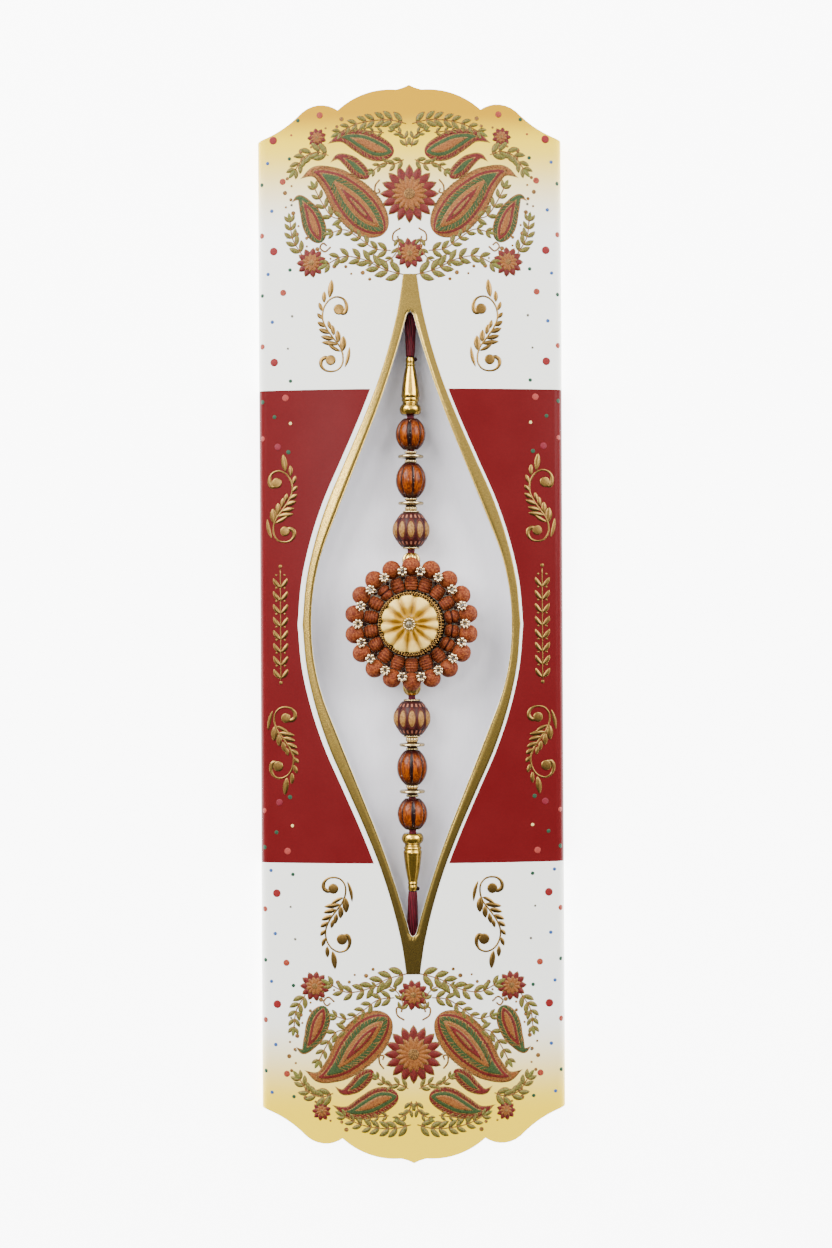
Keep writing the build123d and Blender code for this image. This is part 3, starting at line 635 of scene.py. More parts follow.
def twisted_tube(line, radius, strands, pitch, depth, segments, fullness=1.0):
    """A round bundle along a line: r = R (1 - depth (1 - |cos(n a / 2)|)), turning once in each pitch.

    Across and up are square to the line. Fullness scales the radius place by place, and the last
    millimetre falls away to a blunt tip.
    """
    run = np.concatenate([[0], np.cumsum(np.linalg.norm(np.diff(line, axis=0), axis=1))])
    ahead = np.gradient(line, run, axis=0)
    ahead /= np.linalg.norm(ahead, axis=1)[:, None]
    across = np.cross(ahead, (0.0, 0.0, 1.0))
    across /= np.linalg.norm(across, axis=1)[:, None]
    up = np.cross(across, ahead)
    angle = np.arange(segments) * 2 * math.pi / segments
    phase = strands * (angle[None, :] + 2 * math.pi * run[:, None] / pitch) / 2
    dip = 1 - np.abs(np.cos(phase))
    end_fall = np.sqrt(np.clip(run[-1] - run, 0.02, 1.0))[:, None]
    r = radius * np.broadcast_to(fullness, run.shape)[:, None] * (1 - depth * dip) * end_fall
    points = line[:, None] + r[..., None] * (
        np.cos(angle)[None, :, None] * up[:, None] + np.sin(angle)[None, :, None] * across[:, None])
    # The mark asks for painted shade in the grooves between strands.
    return skin(points, strand=dip**2)


def tie_thread(side, end):
    """One free end: a limp bundle of silk from the ferrule's mouth to its bare end."""
    line = route_line(TIE_ROUTE * (side, side, 1.0), f"tie_route_{end}")
    run = np.concatenate([[0], np.cumsum(np.linalg.norm(np.diff(line, axis=0), axis=1))])
    even = np.linspace(0, run[-1], 200)
    line = np.stack([np.interp(even, run, line[:, k]) for k in range(3)], axis=-1)
    fullness = np.interp(even, [0.0, 1.0, 8.0, 14.0, 30.0], [0.8, 0.88, 1.08, 1.1, 1.0])
    shape = twisted_tube(line, tie_diameter / 2, strands=11, pitch=60.0, depth=0.18, segments=66,
                         fullness=fullness)
    piece = add_piece(f"silk_tie_{end}", shape, MAROON_SILK, [f"tie_thread_{end}"])


for end, side in ENDS.items():
    tie_thread(side, end)


# Card sleeve

# The arch is the circle over the card's middle that runs on smoothly into the round side folds:
# x^2 + (z - (H - R))^2 = (R - f)^2, with x and z the middle of a fold, f its radius and H the height.
fold_x = card_width / 2 - fold_radius
fold_z = flap_z + fold_radius
fold_drop = fold_z - card_height
arch_radius = (fold_x**2 + fold_drop**2 - fold_radius**2) / (-2 * (fold_drop + fold_radius))
arch_z = card_height - arch_radius
lean = math.atan2(fold_x, fold_z - arch_z)
arch_reach = arch_radius * lean
shoulder_x = arch_radius * math.sin(lean)


def end_height(x, half_length):
    """Distance from the card's middle to its scalloped end, at x across."""
    across = np.abs(x)
    start = (0.0, half_length)
    height = np.zeros_like(across)
    for row in SCALLOP_ARCS:
        mid, stop = [(p[0] * card_width / 2, half_length - p[1] * scallop_depth)
                     for p in (row["mid"], row["end"])]
        here = (across >= start[0] - 1e-6) & (across <= stop[0] + 1e-6)
        height = np.where(here, arc_height(start, mid, stop, across), height)
        start = stop
    return height


def window_edge(y):
    """Half width of the window at y along the card, and nothing past its tips."""
    along = np.abs(y)
    start = (0.0, window_half_width)
    width = np.zeros_like(along)
    for row in WINDOW_RUNS:
        stop = (row["end"][0] * window_half_length, row["end"][1] * window_half_width)
        if row["mid"]:
            mid = (row["mid"][0] * window_half_length, row["mid"][1] * window_half_width)
            here_width = arc_height(start, mid, stop, along)
        else:
            here_width = start[1] + (along - start[0]) * (stop[1] - start[1]) / (stop[0] - start[0])
        width = np.where((along >= start[0]) & (along < stop[0]), here_width, width)
        start = stop
    return width


def on_card(across, along, height):
    """A place on the front leaf: across is measured along the bent card, height out from its skin."""
    reach = np.abs(across)
    bend = reach / arch_radius
    turn = lean + (reach - arch_reach) / fold_radius
    on_arch = reach <= arch_reach
    x = np.where(on_arch, (arch_radius + height) * np.sin(bend),
                 fold_x + (fold_radius + height) * np.sin(turn))
    z = np.where(on_arch, arch_z + (arch_radius + height) * np.cos(bend),
                 fold_z + (fold_radius + height) * np.cos(turn))
    return np.stack(np.broadcast_arrays(np.sign(across) * x, along, z), axis=-1)


def developed(x):
    """Distance along the bent card of a place x across, as seen from above."""
    across = np.abs(x)
    on_arch = arch_radius * np.arcsin(np.minimum(across, shoulder_x) / arch_radius)
    turn = np.arcsin(np.clip((across - fold_x) / fold_radius, -1.0, 1.0))
    return np.sign(x) * np.where(across <= shoulder_x, on_arch, arch_reach + fold_radius * (turn - lean))


def both_halves(points, **marks):
    """A grid on the right half of the card and its mirror image on the left, joined along the middle."""
    rows, columns = points.shape[:2]
    faces = grid_faces(rows, columns)
    flat = {key: np.broadcast_to(value, (rows, columns)).ravel() for key, value in marks.items()}
    right = Shape(points.reshape(-1, 3), faces, **flat)
    left = Shape(right.points * (-1, 1, 1), faces[:, ::-1], **flat)
    return joined([right, left])


def thicken(piece, thickness, inner_slot=0):
    """Join the halves, and give the skin its thickness inwards."""
    work = bmesh.new()
    work.from_mesh(piece.data)
    bmesh.ops.remove_doubles(work, verts=work.verts, dist=0.001 * MM)
    work.to_mesh(piece.data)
    work.free()
    solid = piece.modifiers.new("thickness", "SOLIDIFY")
    solid.thickness = thickness * MM
    solid.offset = -1.0
    solid.use_even_offset = True
    solid.material_offset = inner_slot
    solid.material_offset_rim = inner_slot


def card_rows():
    """Places along the card up to past the window's tip, closer together near the tip."""
    half = np.concatenate([np.arange(0, 66, 1.5), np.linspace(66, window_half_length, 22),
                           np.arange(70.5, 73, 1.0)])
    return np.concatenate([-half[:0:-1], half])


def crisp(shares, hem=0.003):
    """Shares from 0 to 1 with one more close to each end, so that the shading turns at the very edge."""
    return np.union1d(shares, [hem, 1 - hem])


def front_leaf():
    """The arched front leaf. Each row runs from the window's edge over the arch, round the fold, to
    the flap's edge; past the window the rows bend gradually into the scalloped end."""
    share = crisp(np.union1d(np.linspace(0, 1, 28), [row["end"][0] * card_width / 2 / shoulder_x
                                                     for row in SCALLOP_ARCS[:3]]))
    rows = card_rows()
    steps = crisp(np.linspace(0, 1, 30), 0.001)[2:]
    straight = np.concatenate([np.full(len(steps), rows[0]), rows, np.full(len(steps), rows[-1])])
    bend = np.concatenate([-steps[::-1], np.zeros(len(rows)), steps])
    edge = window_edge(straight)[:, None]
    x_arch = edge + (shoulder_x - edge) * share
    turn = np.linspace(lean, math.pi, 12)[1:]
    x_fold = fold_x + fold_radius * np.sin(turn)
    x_flap = fold_x - np.linspace(0, flap_width, 4)[1:]
    x_rest = np.broadcast_to(np.concatenate([x_fold, x_flap]), (len(straight), len(x_fold) + len(x_flap)))
    x = np.concatenate([x_arch, x_rest], axis=1)
    z_arch = arch_z + np.sqrt(arch_radius**2 - x_arch**2)
    z_rest = np.concatenate([fold_z + fold_radius * np.cos(turn), np.full(len(x_flap), flap_z)])
    z = np.concatenate([z_arch, np.broadcast_to(z_rest, x_rest.shape)], axis=1)
    reach = end_height(x, front_length / 2) - rows[-1]
    y = straight[:, None] + bend[:, None] * reach
    foil = np.where(np.abs(y) < foil_half_length, curve_through(FOIL_EDGE, np.abs(y)), 0.0)
    shape = both_halves(np.stack([x, y, z], axis=-1), past_margin=x - foil)
    margin = np.where(shape.points[:, 0] > 0, margin_right, margin_left)
    shape = shape.marked(past_margin=shape.marks["past_margin"] - margin)
    piece = add_piece("arched_front_leaf", shape, [PRINTED_CARD, WHITE_CARD],
                      ["card_front_panel"])
    thicken(piece, card_thickness, inner_slot=1)


def back_leaf():
    """The flat back leaf: straight sides, and the same scalloped ends a hair further out."""
    half_length, half_width = card_length / 2, (back_high[0] - back_low[0]) / 2
    corner = end_height(np.array([half_width]), half_length)[0]
    share = crisp(np.union1d(np.linspace(0, 1, 30), [row["end"][0] * card_width / 2 / half_width
                                                     for row in SCALLOP_ARCS[:3]]))
    x = half_width * share
    steps = crisp(np.linspace(-1, 1, 80), 0.0005)
    steps = np.union1d(steps[steps > -1], [-0.9995, -1.0])
    end = end_height(x, half_length)
    y = np.sign(steps)[:, None] * (np.abs(steps)[:, None] * corner
                                   + (end - corner) * np.abs(steps)[:, None] ** 6)
    x = np.broadcast_to(x, y.shape)
    past = np.abs(y) - end_height(x, front_length / 2)
    points = np.stack([x, y, np.full_like(y, back_high[2])], axis=-1)
    piece = add_piece("flat_back_leaf", both_halves(points, past_front=past), BACK_LEAF,
                      ["card_back_panel"])
    thicken(piece, card_thickness)


def foil_border():
    """The gold border round the window: a crowned strip with a pale painted highlight on its lip and a brown
    line of painted shade in the crease inside it.
    """
    ends = [foil_half_length * (1 - hem) for hem in (0.0, 0.001, 0.01, 0.03)]
    rows = np.union1d(card_rows(), ends + [-place for place in ends])
    share = np.array([0.0, 0.015, 0.04, 0.08, 0.1, 0.13, 0.16, 0.19, 0.4, 0.6, 0.8, 0.98, 0.995, 1.0])
    lift = np.array([-0.16, 0.05, 0.08, 0.08, 0.05, 0.04, 0.05, 0.08] + [0.09] * 4 + [0.08, 0.04])
    inner = window_edge(rows)[:, None]
    outer = curve_through(FOIL_EDGE, np.abs(rows))[:, None]
    open_here = np.clip(inner / 2.0, 0.0, 1.0)
    lift = np.where(inner > 0, lift, np.where(share < 0.3, 0.09, lift))
    x = inner + (outer - inner) * share
    points = on_card(developed(x), rows[:, None], lift)
    # Marks for the painted shade in the crease and the painted highlight on the lip.
    crease = np.exp(-((share - 0.13) / 0.028) ** 2) * np.clip((52 - np.abs(rows[:, None])) / 8, 0, 1)
    lip = np.clip(1 - np.abs(share - 0.03) / 0.04, 0, 1) * open_here
    piece = add_piece("foil_border", both_halves(points, crease=crease, lip=lip), FOIL_GOLD)
    thicken(piece, foil_thickness)


front_leaf()
back_leaf()
foil_border()


# Prints on the card, each a thin closed layer let into the card by ink_root

ink_root = 0.06


def stroke(path, half_width, lift=0.06, crown=0.02, fine=False):
    """A flat line of ink: a low crowned section carried along a path in the card's plane.

    Each section's points are path + n w s, where n is square to the path, w the half width there, and
    s runs over fixed shares. Fine ones follow the card's bend.
    """
    ahead = np.gradient(path, axis=0)
    ahead /= np.maximum(np.hypot(*ahead.T), 1e-9)[:, None]
    square = np.stack([ahead[:, 1], -ahead[:, 0]], axis=-1)
    inner = np.linspace(-0.88, 0.88, 7 if fine else 3)
    share = np.concatenate([[-1.0], inner, [1.0, 0.0]])
    rise = np.concatenate([[-ink_root], lift + crown * (1 - inner**2), [-ink_root, -ink_root]])
    flat = path[:, None] + square[:, None] * (share[None, :] * half_width[:, None])[..., None]
    points = on_card(flat[..., 0], flat[..., 1], rise[None, :])
    return skin(points[:, ::-1])


def dot(across, along, radius, lift=0.05):
    """A round spot of ink; across is measured on the bent card."""
    profile = np.array([(0.02, -ink_root), (1.0, -ink_root), (1.0, lift * 0.6), (0.8, lift),
                        (0.02, lift)])
    angle = np.arange(12) * 2 * math.pi / 12
    r = profile[:, :1] * radius
    return skin(on_card(across + r * np.cos(angle), along + r * np.sin(angle), profile[:, 1:]))


def bent_path(foot, heading, bend, length, count=14):
    """A path from its foot that turns evenly by bend degrees."""
    turn = np.radians(heading + bend * np.linspace(0, 1, count))
    path = np.cumsum(np.stack([np.cos(turn), np.sin(turn)], axis=-1) * length / (count - 1), axis=0)
    return path + foot - path[0]


def leaf_width(width, fullness=0.8, count=14):
    """Half widths of a pointed leaf: w/2 sin(pi t)^fullness."""
    return width / 2 * np.sin(math.pi * np.linspace(0, 1, count)) ** fullness + 0.02


# Dots of one repeat: distance in from the card's side, distance along, radius, colour.
DOT_REPEAT = 24.8
DOTS = [
    (3.6, 0.0, 0.9, "red"), (6.7, 3.0, 0.26, "grey"), (0.9, 3.6, 0.62, "orange"),
    (2.3, -5.06, 0.4, "blue"), (7.25, -4.26, 0.42, "green"), (3.2, 9.04, 0.42, "blue"),
    (7.7, 10.2, 0.3, "grey"), (0.95, 15.0, 0.46, "green"), (5.7, 15.5, 0.72, "orange"),
]
DOT_START = {1: 58.6, -1: 60.0}     # first red dot above and below the middle
DOTS_CLEAR_OF_RED = 53.6
DOTS_ON_RED = [
    (6.1, 50.6, 0.75, "coral"), (0.9, 49.8, 0.5, "green"), (3.6, 46.4, 0.45, "green"),
    (7.2, 44.9, 0.36, "cream"), (0.9, 41.6, 0.55, "coral"), (4.3, 39.7, 0.75, "rose"),
    (6.7, 38.5, 0.5, "green"),
]
DOTS_ON_YELLOW = [(9.2, 112.4, 0.42, "green"), (14.1, 113.4, 0.72, "orange"), (7.7, 109.2, 0.26, "orange")]
INKS = {
    "red": ink_finish("ink_red", srgb(128, 20, 20), srgb(106, 14, 16)),
    "orange": ink_finish("ink_orange", srgb(156, 64, 42), srgb(116, 42, 28)),
    "coral": ink_finish("ink_coral", srgb(152, 56, 48), srgb(138, 46, 42)),
    "rose": ink_finish("ink_rose", srgb(118, 20, 38), srgb(104, 16, 32)),
    "green": ink_finish("ink_green", srgb(32, 72, 48), srgb(24, 58, 38)),
    "blue": ink_finish("ink_blue", srgb(56, 90, 148), srgb(46, 78, 132)),
    "grey": ink_finish("ink_grey", srgb(104, 98, 84), srgb(86, 82, 70)),
    "cream": ink_finish("ink_cream", srgb(222, 200, 130), srgb(204, 184, 116)),
}


def printed_dots():
    """Small coloured dots down both sides, in the repeat of the card, mirrored left and right."""
    places = []
    for end, start in DOT_START.items():
        for repeat in range(-1, 3):
            for inset, along, radius, color in DOTS:
                y = start + repeat * DOT_REPEAT + along
                x = card_width / 2 - inset
                if DOTS_CLEAR_OF_RED < y < end_height(np.float64(x), front_length / 2) - 1.0:
                    places.append((x, end * y, radius, color))
        extra = DOTS_ON_RED + (DOTS_ON_YELLOW if end > 0 else [])
        places += [(card_width / 2 - inset, end * y, radius, color) for inset, y, radius, color in extra]
    for color, ink in INKS.items():
        spots = [dot(developed(np.float64(side * x)), y, radius) for x, y, radius, kind in places
                 if kind == color for side in (-1, 1)]
        add_piece(f"printed_dots_{color}", joined(spots), ink)


# The scroll's vine from its upper eye to its lower eye. Then its leaves: foot across and along, heading,
# bend, length, width; and its eyes: across, along, radius.
SCROLL_VINE = [
    (-1.25, 7.5), (-2.0, 7.3), (-2.9, 7.9), (-3.0, 9.0), (-2.2, 10.1), (-0.7, 10.5), (0.9, 10.1),
    (1.9, 8.9), (2.1, 7.2), (1.5, 5.1), (-0.1, 2.9), (-1.7, 0.6), (-2.6, -1.8), (-2.2, -4.3),
    (-0.9, -6.0), (0.7, -6.6), (2.3, -6.0), (3.0, -4.3), (2.4, -2.8), (1.5, -2.9),
]
SCROLL_LEAVES = [
    (1.6, 5.9, 196, 26, 3.4, 0.75), (1.0, 4.3, 188, 0, 3.9, 1.0), (0.0, 3.1, 190, 6, 3.1, 1.0),
    (-0.9, 1.7, 196, 10, 2.8, 1.0), (-1.9, 0.2, 206, 10, 2.2, 0.95), (-2.6, -1.6, 222, 10, 1.8, 0.8),
    (-2.7, -3.4, 250, 0, 2.1, 0.8), (-2.2, -5.3, 268, 6, 2.6, 0.9), (-1.0, -6.4, 282, -8, 4.2, 1.2),
    (2.5, 9.6, 296, -24, 4.8, 0.7), (2.0, 5.9, 276, -6, 3.5, 1.4), (1.0, 3.9, 270, -6, 2.8, 1.15),
    (0.0, 2.2, 262, -4, 2.4, 0.95), (-0.8, 0.8, 258, -4, 2.0, 0.8),
]
SCROLL_EYES = [(-0.75, 7.9, 1.0), (1.2, -3.7, 1.05)]
# Each scroll: centre across and along, whether it stands on the white, and its size.
SCROLLS = [(17.0, 66.5, True, 0.97), (29.0, 28.2, False, 0.93)]


def scroll(x, y, flip_x, flip_y, size):
    """A vine with a curled eye at each end and a row of leaves on each side."""
    leaf_fullness, eye_fullness = 1.15, 1.2

    def put(path, half_width):
        return stroke(path * (flip_x * size, flip_y * size) + (x, y), half_width, crown=0.006)

    t = np.linspace(0, 1, 110)
    swell = np.exp(-((t - 0.05) / 0.07) ** 2) + np.exp(-((0.95 - t) / 0.07) ** 2)
    shapes = [put(smooth_path(SCROLL_VINE, 110), 0.2 + 0.3 * swell)]
    for foot_x, foot_y, heading, bend, length, width in SCROLL_LEAVES:
        shapes.append(put(bent_path((foot_x, foot_y), heading, bend, length),
                          leaf_width(leaf_fullness * width, 0.7)))
    for eye_x, eye_y, radius in SCROLL_EYES:
        shapes.append(dot(x + eye_x * flip_x * size, y + eye_y * flip_y * size, eye_fullness * radius * size,
                          0.08))
    return joined(shapes)


def garland(x, half_length):
    """A plain upright stem with pairs of leaves and dots, where the card is otherwise bare."""
    stem = np.stack([np.full(24, x), np.linspace(-half_length, half_length, 24)], axis=-1)
    shapes = [stroke(stem, np.full(24, 0.12)), dot(x, half_length + 0.6, 0.4),
              dot(x, -half_length - 0.6, 0.4)]
    for y in np.arange(-half_length + 0.4, half_length - 1.5, 2.9):
        for side in (-1, 1):
            path = bent_path((x, y), 90 - side * 62, side * 44, 2.7, 9)
            shapes += [stroke(path, leaf_width(1.0, 0.7, 9)), dot(x + side * 0.95, y + 2.75, 0.24)]
    return joined(shapes)


def foil_scrolls():
    """The gold scrolls beside the window, on the white and on the red, and the garlands between."""
    shapes = []
    for across, along, on_white, size in SCROLLS:
        for side in (-1, 1):
            for end in (-1, 1):
                flip_x = -side if on_white else side
                shapes.append(scroll(side * across, end * along, flip_x, -end, size))
    shapes += [garland(side * 29.4, 12.4) for side in (-1, 1)]
    add_piece("foil_scrolls", joined(shapes), SATIN_GOLD)


# Folk ornament near each end of the card: flower, mirrored paisleys and leafy vines. Across, then
# towards the end, from the ornament's middle.
ornament_place = 95.6
ORNAMENT_INKS = {
    "gold": ink_finish("glitter_gold", srgb(138, 98, 48), srgb(74, 50, 24), 0.9),
    "red": ink_finish("glitter_red", srgb(106, 28, 22), srgb(72, 16, 14), 0.35),
    "green": ink_finish("glitter_green", srgb(54, 74, 34), srgb(34, 52, 24), 0.35),
    "olive": ink_finish("glitter_olive", srgb(112, 110, 46), srgb(80, 80, 32), 0.35),
    "ochre": ink_finish("glitter_ochre", srgb(138, 84, 34), srgb(106, 58, 22), 0.4),
}
# Bands of a paisley, from its edge inwards: how far in, and the ink.
LARGE_BANDS = [
    (0.0, "gold"), (0.35, "ochre"), (0.95, "gold"), (1.2, "red"), (1.85, "gold"), (2.1, "green"),
    (3.3, "gold"), (3.55, "ochre"), (4.15, "gold"), (4.4, "red"), (5.0, "gold"),
]
SMALL_BANDS = [(0.0, "gold"), (0.3, "green"), (1.15, "gold"), (1.4, "red"), (2.0, "gold"), (2.2, "ochre")]
RED_BANDS = [(0.0, "gold"), (0.3, "red"), (1.05, "gold"), (1.3, "green"), (2.1, "gold"), (2.35, "ochre")]
# Outer and inner edge of each band that carries fine gold barbs.
LARGE_BARBS = [(0.35, 0.95), (2.1, 3.3)]
SMALL_BARBS = [(0.3, 1.15)]
# Right-hand paisleys: middle line from the round end to the tip, greatest half width, bands, barbs.
PAISLEYS = [
    ([(5.4, -8.6), (9.4, -5.0), (13.4, -0.6), (17.4, 3.4), (21.4, 5.2), (24.4, 3.8)], 5.4, LARGE_BANDS,
     LARGE_BARBS),
    ([(3.4, 9.2), (7.0, 10.0), (10.8, 11.8), (14.8, 12.8), (18.2, 11.4)], 3.2, RED_BANDS, SMALL_BARBS),
    ([(19.8, -10.6), (21.2, -7.0), (22.8, -3.0), (25.0, -0.4), (26.4, -1.4)], 2.8, SMALL_BANDS,
     SMALL_BARBS),
    ([(9.0, 3.6), (11.2, 5.4), (13.4, 7.4), (16.0, 8.4), (17.6, 7.2)], 1.9, RED_BANDS, SMALL_BARBS),
]
# Right-hand vines: path, length of a leaf, and how many pairs.
VINES = [
    ([(1.2, -18.0), (5.6, -16.8), (10.6, -14.4), (15.0, -13.8), (18.4, -15.4)], 3.6, 8),
    ([(4.2, -12.6), (7.6, -12.2), (11.4, -9.6), (14.6, -7.8), (17.4, -8.4)], 2.8, 7),
    ([(0.7, 15.6), (4.0, 16.4), (8.4, 16.3), (12.4, 15.4), (15.6, 13.8)], 3.1, 8),
    ([(18.0, 8.8), (20.6, 9.6), (23.2, 8.8), (25.6, 5.8)], 3.3, 6),
    ([(24.2, -13.0), (26.2, -9.6), (26.8, -5.6)], 2.8, 5),
    ([(14.4, -5.4), (17.0, -5.0), (19.2, -2.2), (21.2, 1.6)], 2.8, 5),
    ([(1.2, 7.6), (3.4, 6.6), (5.8, 6.8), (8.0, 5.2)], 2.3, 5),
    ([(0.5, 10.4), (1.2, 12.8), (3.4, 14.2)], 2.1, 4),
    ([(5.6, 13.6), (8.8, 14.0), (11.6, 14.4)], 1.6, 4),
    ([(2.6, -9.4), (2.4, -11.4), (4.4, -14.6), (8.6, -15.2)], 2.0, 5),
]
CURLS = [
    [(17.6, -11.6), (19.0, -12.6), (20.0, -11.6), (19.3, -10.7), (18.5, -11.3)],
    [(6.6, 3.2), (7.6, 1.8), (7.4, 0.2), (6.6, 0.4), (6.9, 1.2)],
    [(2.0, -7.6), (3.6, -8.8), (3.6, -10.4), (2.5, -10.3), (2.7, -9.4)],
]
# Rosettes: across, along, radius, petals.
ROSETTES = [(0.0, 0.0, 6.6, 16), (22.0, -15.0, 3.4, 11), (0.0, -13.2, 3.5, 11), (20.6, 12.8, 2.2, 9)]
# The arc of gold dots beside an ornament: its reach across and along, and the dots' headings.
DOT_ARC_REACH = (26.6, 19.0)
DOT_ARC_HEADINGS = np.radians(np.arange(-76, 60, 4.6))


def barbs(line, half_width, outer, inner, lay):
    """Short gold strokes across one band of a paisley, each leaning towards the tip."""
    ahead = np.gradient(line, axis=0)
    square = np.stack([ahead[:, 1], -ahead[:, 0]], axis=-1) / np.hypot(*ahead.T)[:, None]
    along = np.concatenate([[0], np.cumsum(np.hypot(*np.diff(line, axis=0).T))])
    for foot in np.arange(0.5, along[-1], 0.75):
        a, b = np.searchsorted(along, (foot, min(foot + inner - outer, along[-1])))
        if min(a, b) > 0 and half_width[a] > outer + 0.1 and half_width[b] > inner + 0.1:
            for side in (-1, 1):
                start = line[a] + side * square[a] * (half_width[a] - outer)
                stop = line[b] + side * square[b] * (half_width[b] - inner)
                lay("gold", np.linspace(start, stop, 3), np.array([0.1, 0.08, 0.04]), 0.12, False)


def paisley(path, width, bands, barbed, lay):
    """Nested bands of a curled drop, widest at a third of its length.

    Half width = W sqrt(1 - (1 - t/a)^2) up to t = a, then W cos(pi/2 (t - a)/(1 - a))^1.2.
    """
    widest = 0.32
    t = (1 - np.cos(np.linspace(0, math.pi, 46))) / 2
    round_end = np.sqrt(np.clip(1 - (1 - t / widest) ** 2, 0, 1))
    taper = np.cos(math.pi / 2 * np.clip((t - widest) / (1 - widest), 0, 1)) ** 1.2
    half_width = width * np.where(t < widest, round_end, taper)
    even = smooth_path(path, 400)
    line = np.stack([np.interp(t, np.linspace(0, 1, 400), even[:, k]) for k in (0, 1)], axis=-1)
    for number, (inset, ink) in enumerate(bands):
        kept = half_width > inset
        if kept.sum() > 5:
            lay(ink, line[kept], half_width[kept] - inset + 0.01, 0.03 + 0.01 * number, True)
    for outer, inner in barbed:
        barbs(line, half_width, outer, inner, lay)


def vine(points, leaf_length, pairs, lay):
    """A thin stem with pairs of outlined leaves, smaller towards its end."""
    line = smooth_path(points, 36)
    lay("gold", line, np.full(36, 0.14), 0.05, False)
    heading = np.degrees(np.unwrap(np.arctan2(*np.gradient(line, axis=0).T[::-1])))
    for pair in range(pairs):
        place = round(2 + 32 * pair / max(pairs - 1, 1))
        length = leaf_length * (1.0 - 0.35 * pair / pairs)
        for side in (-1, 1):
            path = bent_path(line[place], heading[place] + side * 50, -side * 26, length, 9)
            lay("gold", path, leaf_width(length * 0.46, 0.8, 9), 0.03, False)
            lay("olive", path[1:-1], leaf_width(length * 0.31, 0.8, 9)[1:-1], 0.06, False)
            lay("gold", path[1:-2], np.full(6, 0.06), 0.09, False)
    lay("olive", bent_path(line[-1], heading[-1], 0, leaf_length * 0.7, 9),
        leaf_width(leaf_length * 0.3, 0.8, 9), 0.05, False)


def rosette(x, y, radius, petals, lay):
    """A flower of pointed petals round a gold heart."""
    for ring, (ink, size) in enumerate((("gold", 1.0), ("red", 0.93), ("gold", 0.62), ("ochre", 0.56))):
        turn = 180 / petals if ring > 1 else 0.0
        for heading in np.arange(petals) * 360 / petals + turn:
            path = bent_path((x, y), heading, 0, radius * size, 9)
            lay(ink, path, leaf_width(radius * size * 0.5 * 14 / (petals + 3), 0.6, 9), 0.03 + 0.015 * ring,
                False)


def ornament():
    """Both ornaments, sorted by ink; the lower one is the upper one turned over."""
    layers = {ink: [] for ink in ORNAMENT_INKS}
    for end in (-1, 1):
        for side in (-1, 1):
            def lay(ink, path, half_width, lift, fine):
                place = path * (side, end) + (0, end * ornament_place)
                layers[ink].append(stroke(place, half_width, lift, 0.01, fine))

            for path, width, bands, barbed in PAISLEYS:
                paisley(path, width, bands, barbed, lay)
            for path, leaf_length, pairs in VINES:
                vine(path, leaf_length, pairs, lay)
            for path in CURLS:
                lay("gold", smooth_path(path, 40), np.full(40, 0.2), 0.05, False)
            for x, y, radius, petals in ROSETTES:
                if x > 0 or side > 0:
                    rosette(x, y, radius, petals, lay)
            for number, turn in enumerate(DOT_ARC_HEADINGS):
                reach = 1.0 + 0.05 * (number % 2)
                x, y = DOT_ARC_REACH[0] * reach * math.cos(turn), DOT_ARC_REACH[1] * reach * math.sin(turn)
                layers["gold"].append(dot(side * x, end * (y + ornament_place), 0.26 + 0.12 * (number % 3)))
    for end in (-1, 1):
        for x, y, radius, petals in ROSETTES:
            for side in (-1, 1) if x > 0 else (1,):
                layers["gold"].append(dot(side * x, end * (y + ornament_place), radius * 0.2, 0.12))
    for ink, shapes in layers.items():
        add_piece(f"ornament_{ink}", joined(shapes), ORNAMENT_INKS[ink])


printed_dots()
foil_scrolls()
ornament()


# Strung pieces

def on_string(shape, node, side):
    """Put a piece that stands on Z=0 on the string, from the CAD node's inner end outwards."""
    low, high = node_box(node)
    start = low[1] if side > 0 else -high[1]
    x, y, z = shape.points.T
    points = np.stack([side * y, side * (start + z), string_z + x], axis=-1)
    return Shape(points, shape.faces, **shape.marks)


def size_of(node):
    """Length along the string and radius across it of a CAD node."""
    low, high = node_box(node)
    return high[1] - low[1], (high[0] - low[0]) / 2


def bored(outside, length):
    """Close an outside profile with the string's bore, from its top back down to its foot."""
    bore = np.array([(bore_radius, length), (bore_radius, length / 2), (bore_radius, 0.0)])
    return np.concatenate([outside, bore])


def nearest_spoke(angle, count, first=0.0):
    """Signed angle from the nearest of evenly spaced spokes."""
    pitch = 2 * math.pi / count
    return (angle - first + pitch / 2) % pitch - pitch / 2


def ball(radius, rows, segments, uneven=0.0, turn=(0.0, 0.0)):
    """A sphere, r = R (1 + uneven sin(2a + s) sin(3b + t)), its pole along Z."""
    fall = np.linspace(0.03, math.pi - 0.03, rows)[:, None]
    angle = np.arange(segments)[None, :] * 2 * math.pi / segments
    r = radius * (1 + uneven * np.sin(2 * angle + turn[0]) * np.sin(3 * fall + turn[1]))
    points = np.stack([r * np.sin(fall) * np.cos(angle), r * np.sin(fall) * np.sin(angle),
                       -r * np.cos(fall) + 0 * angle], axis=-1)
    return skin(points)


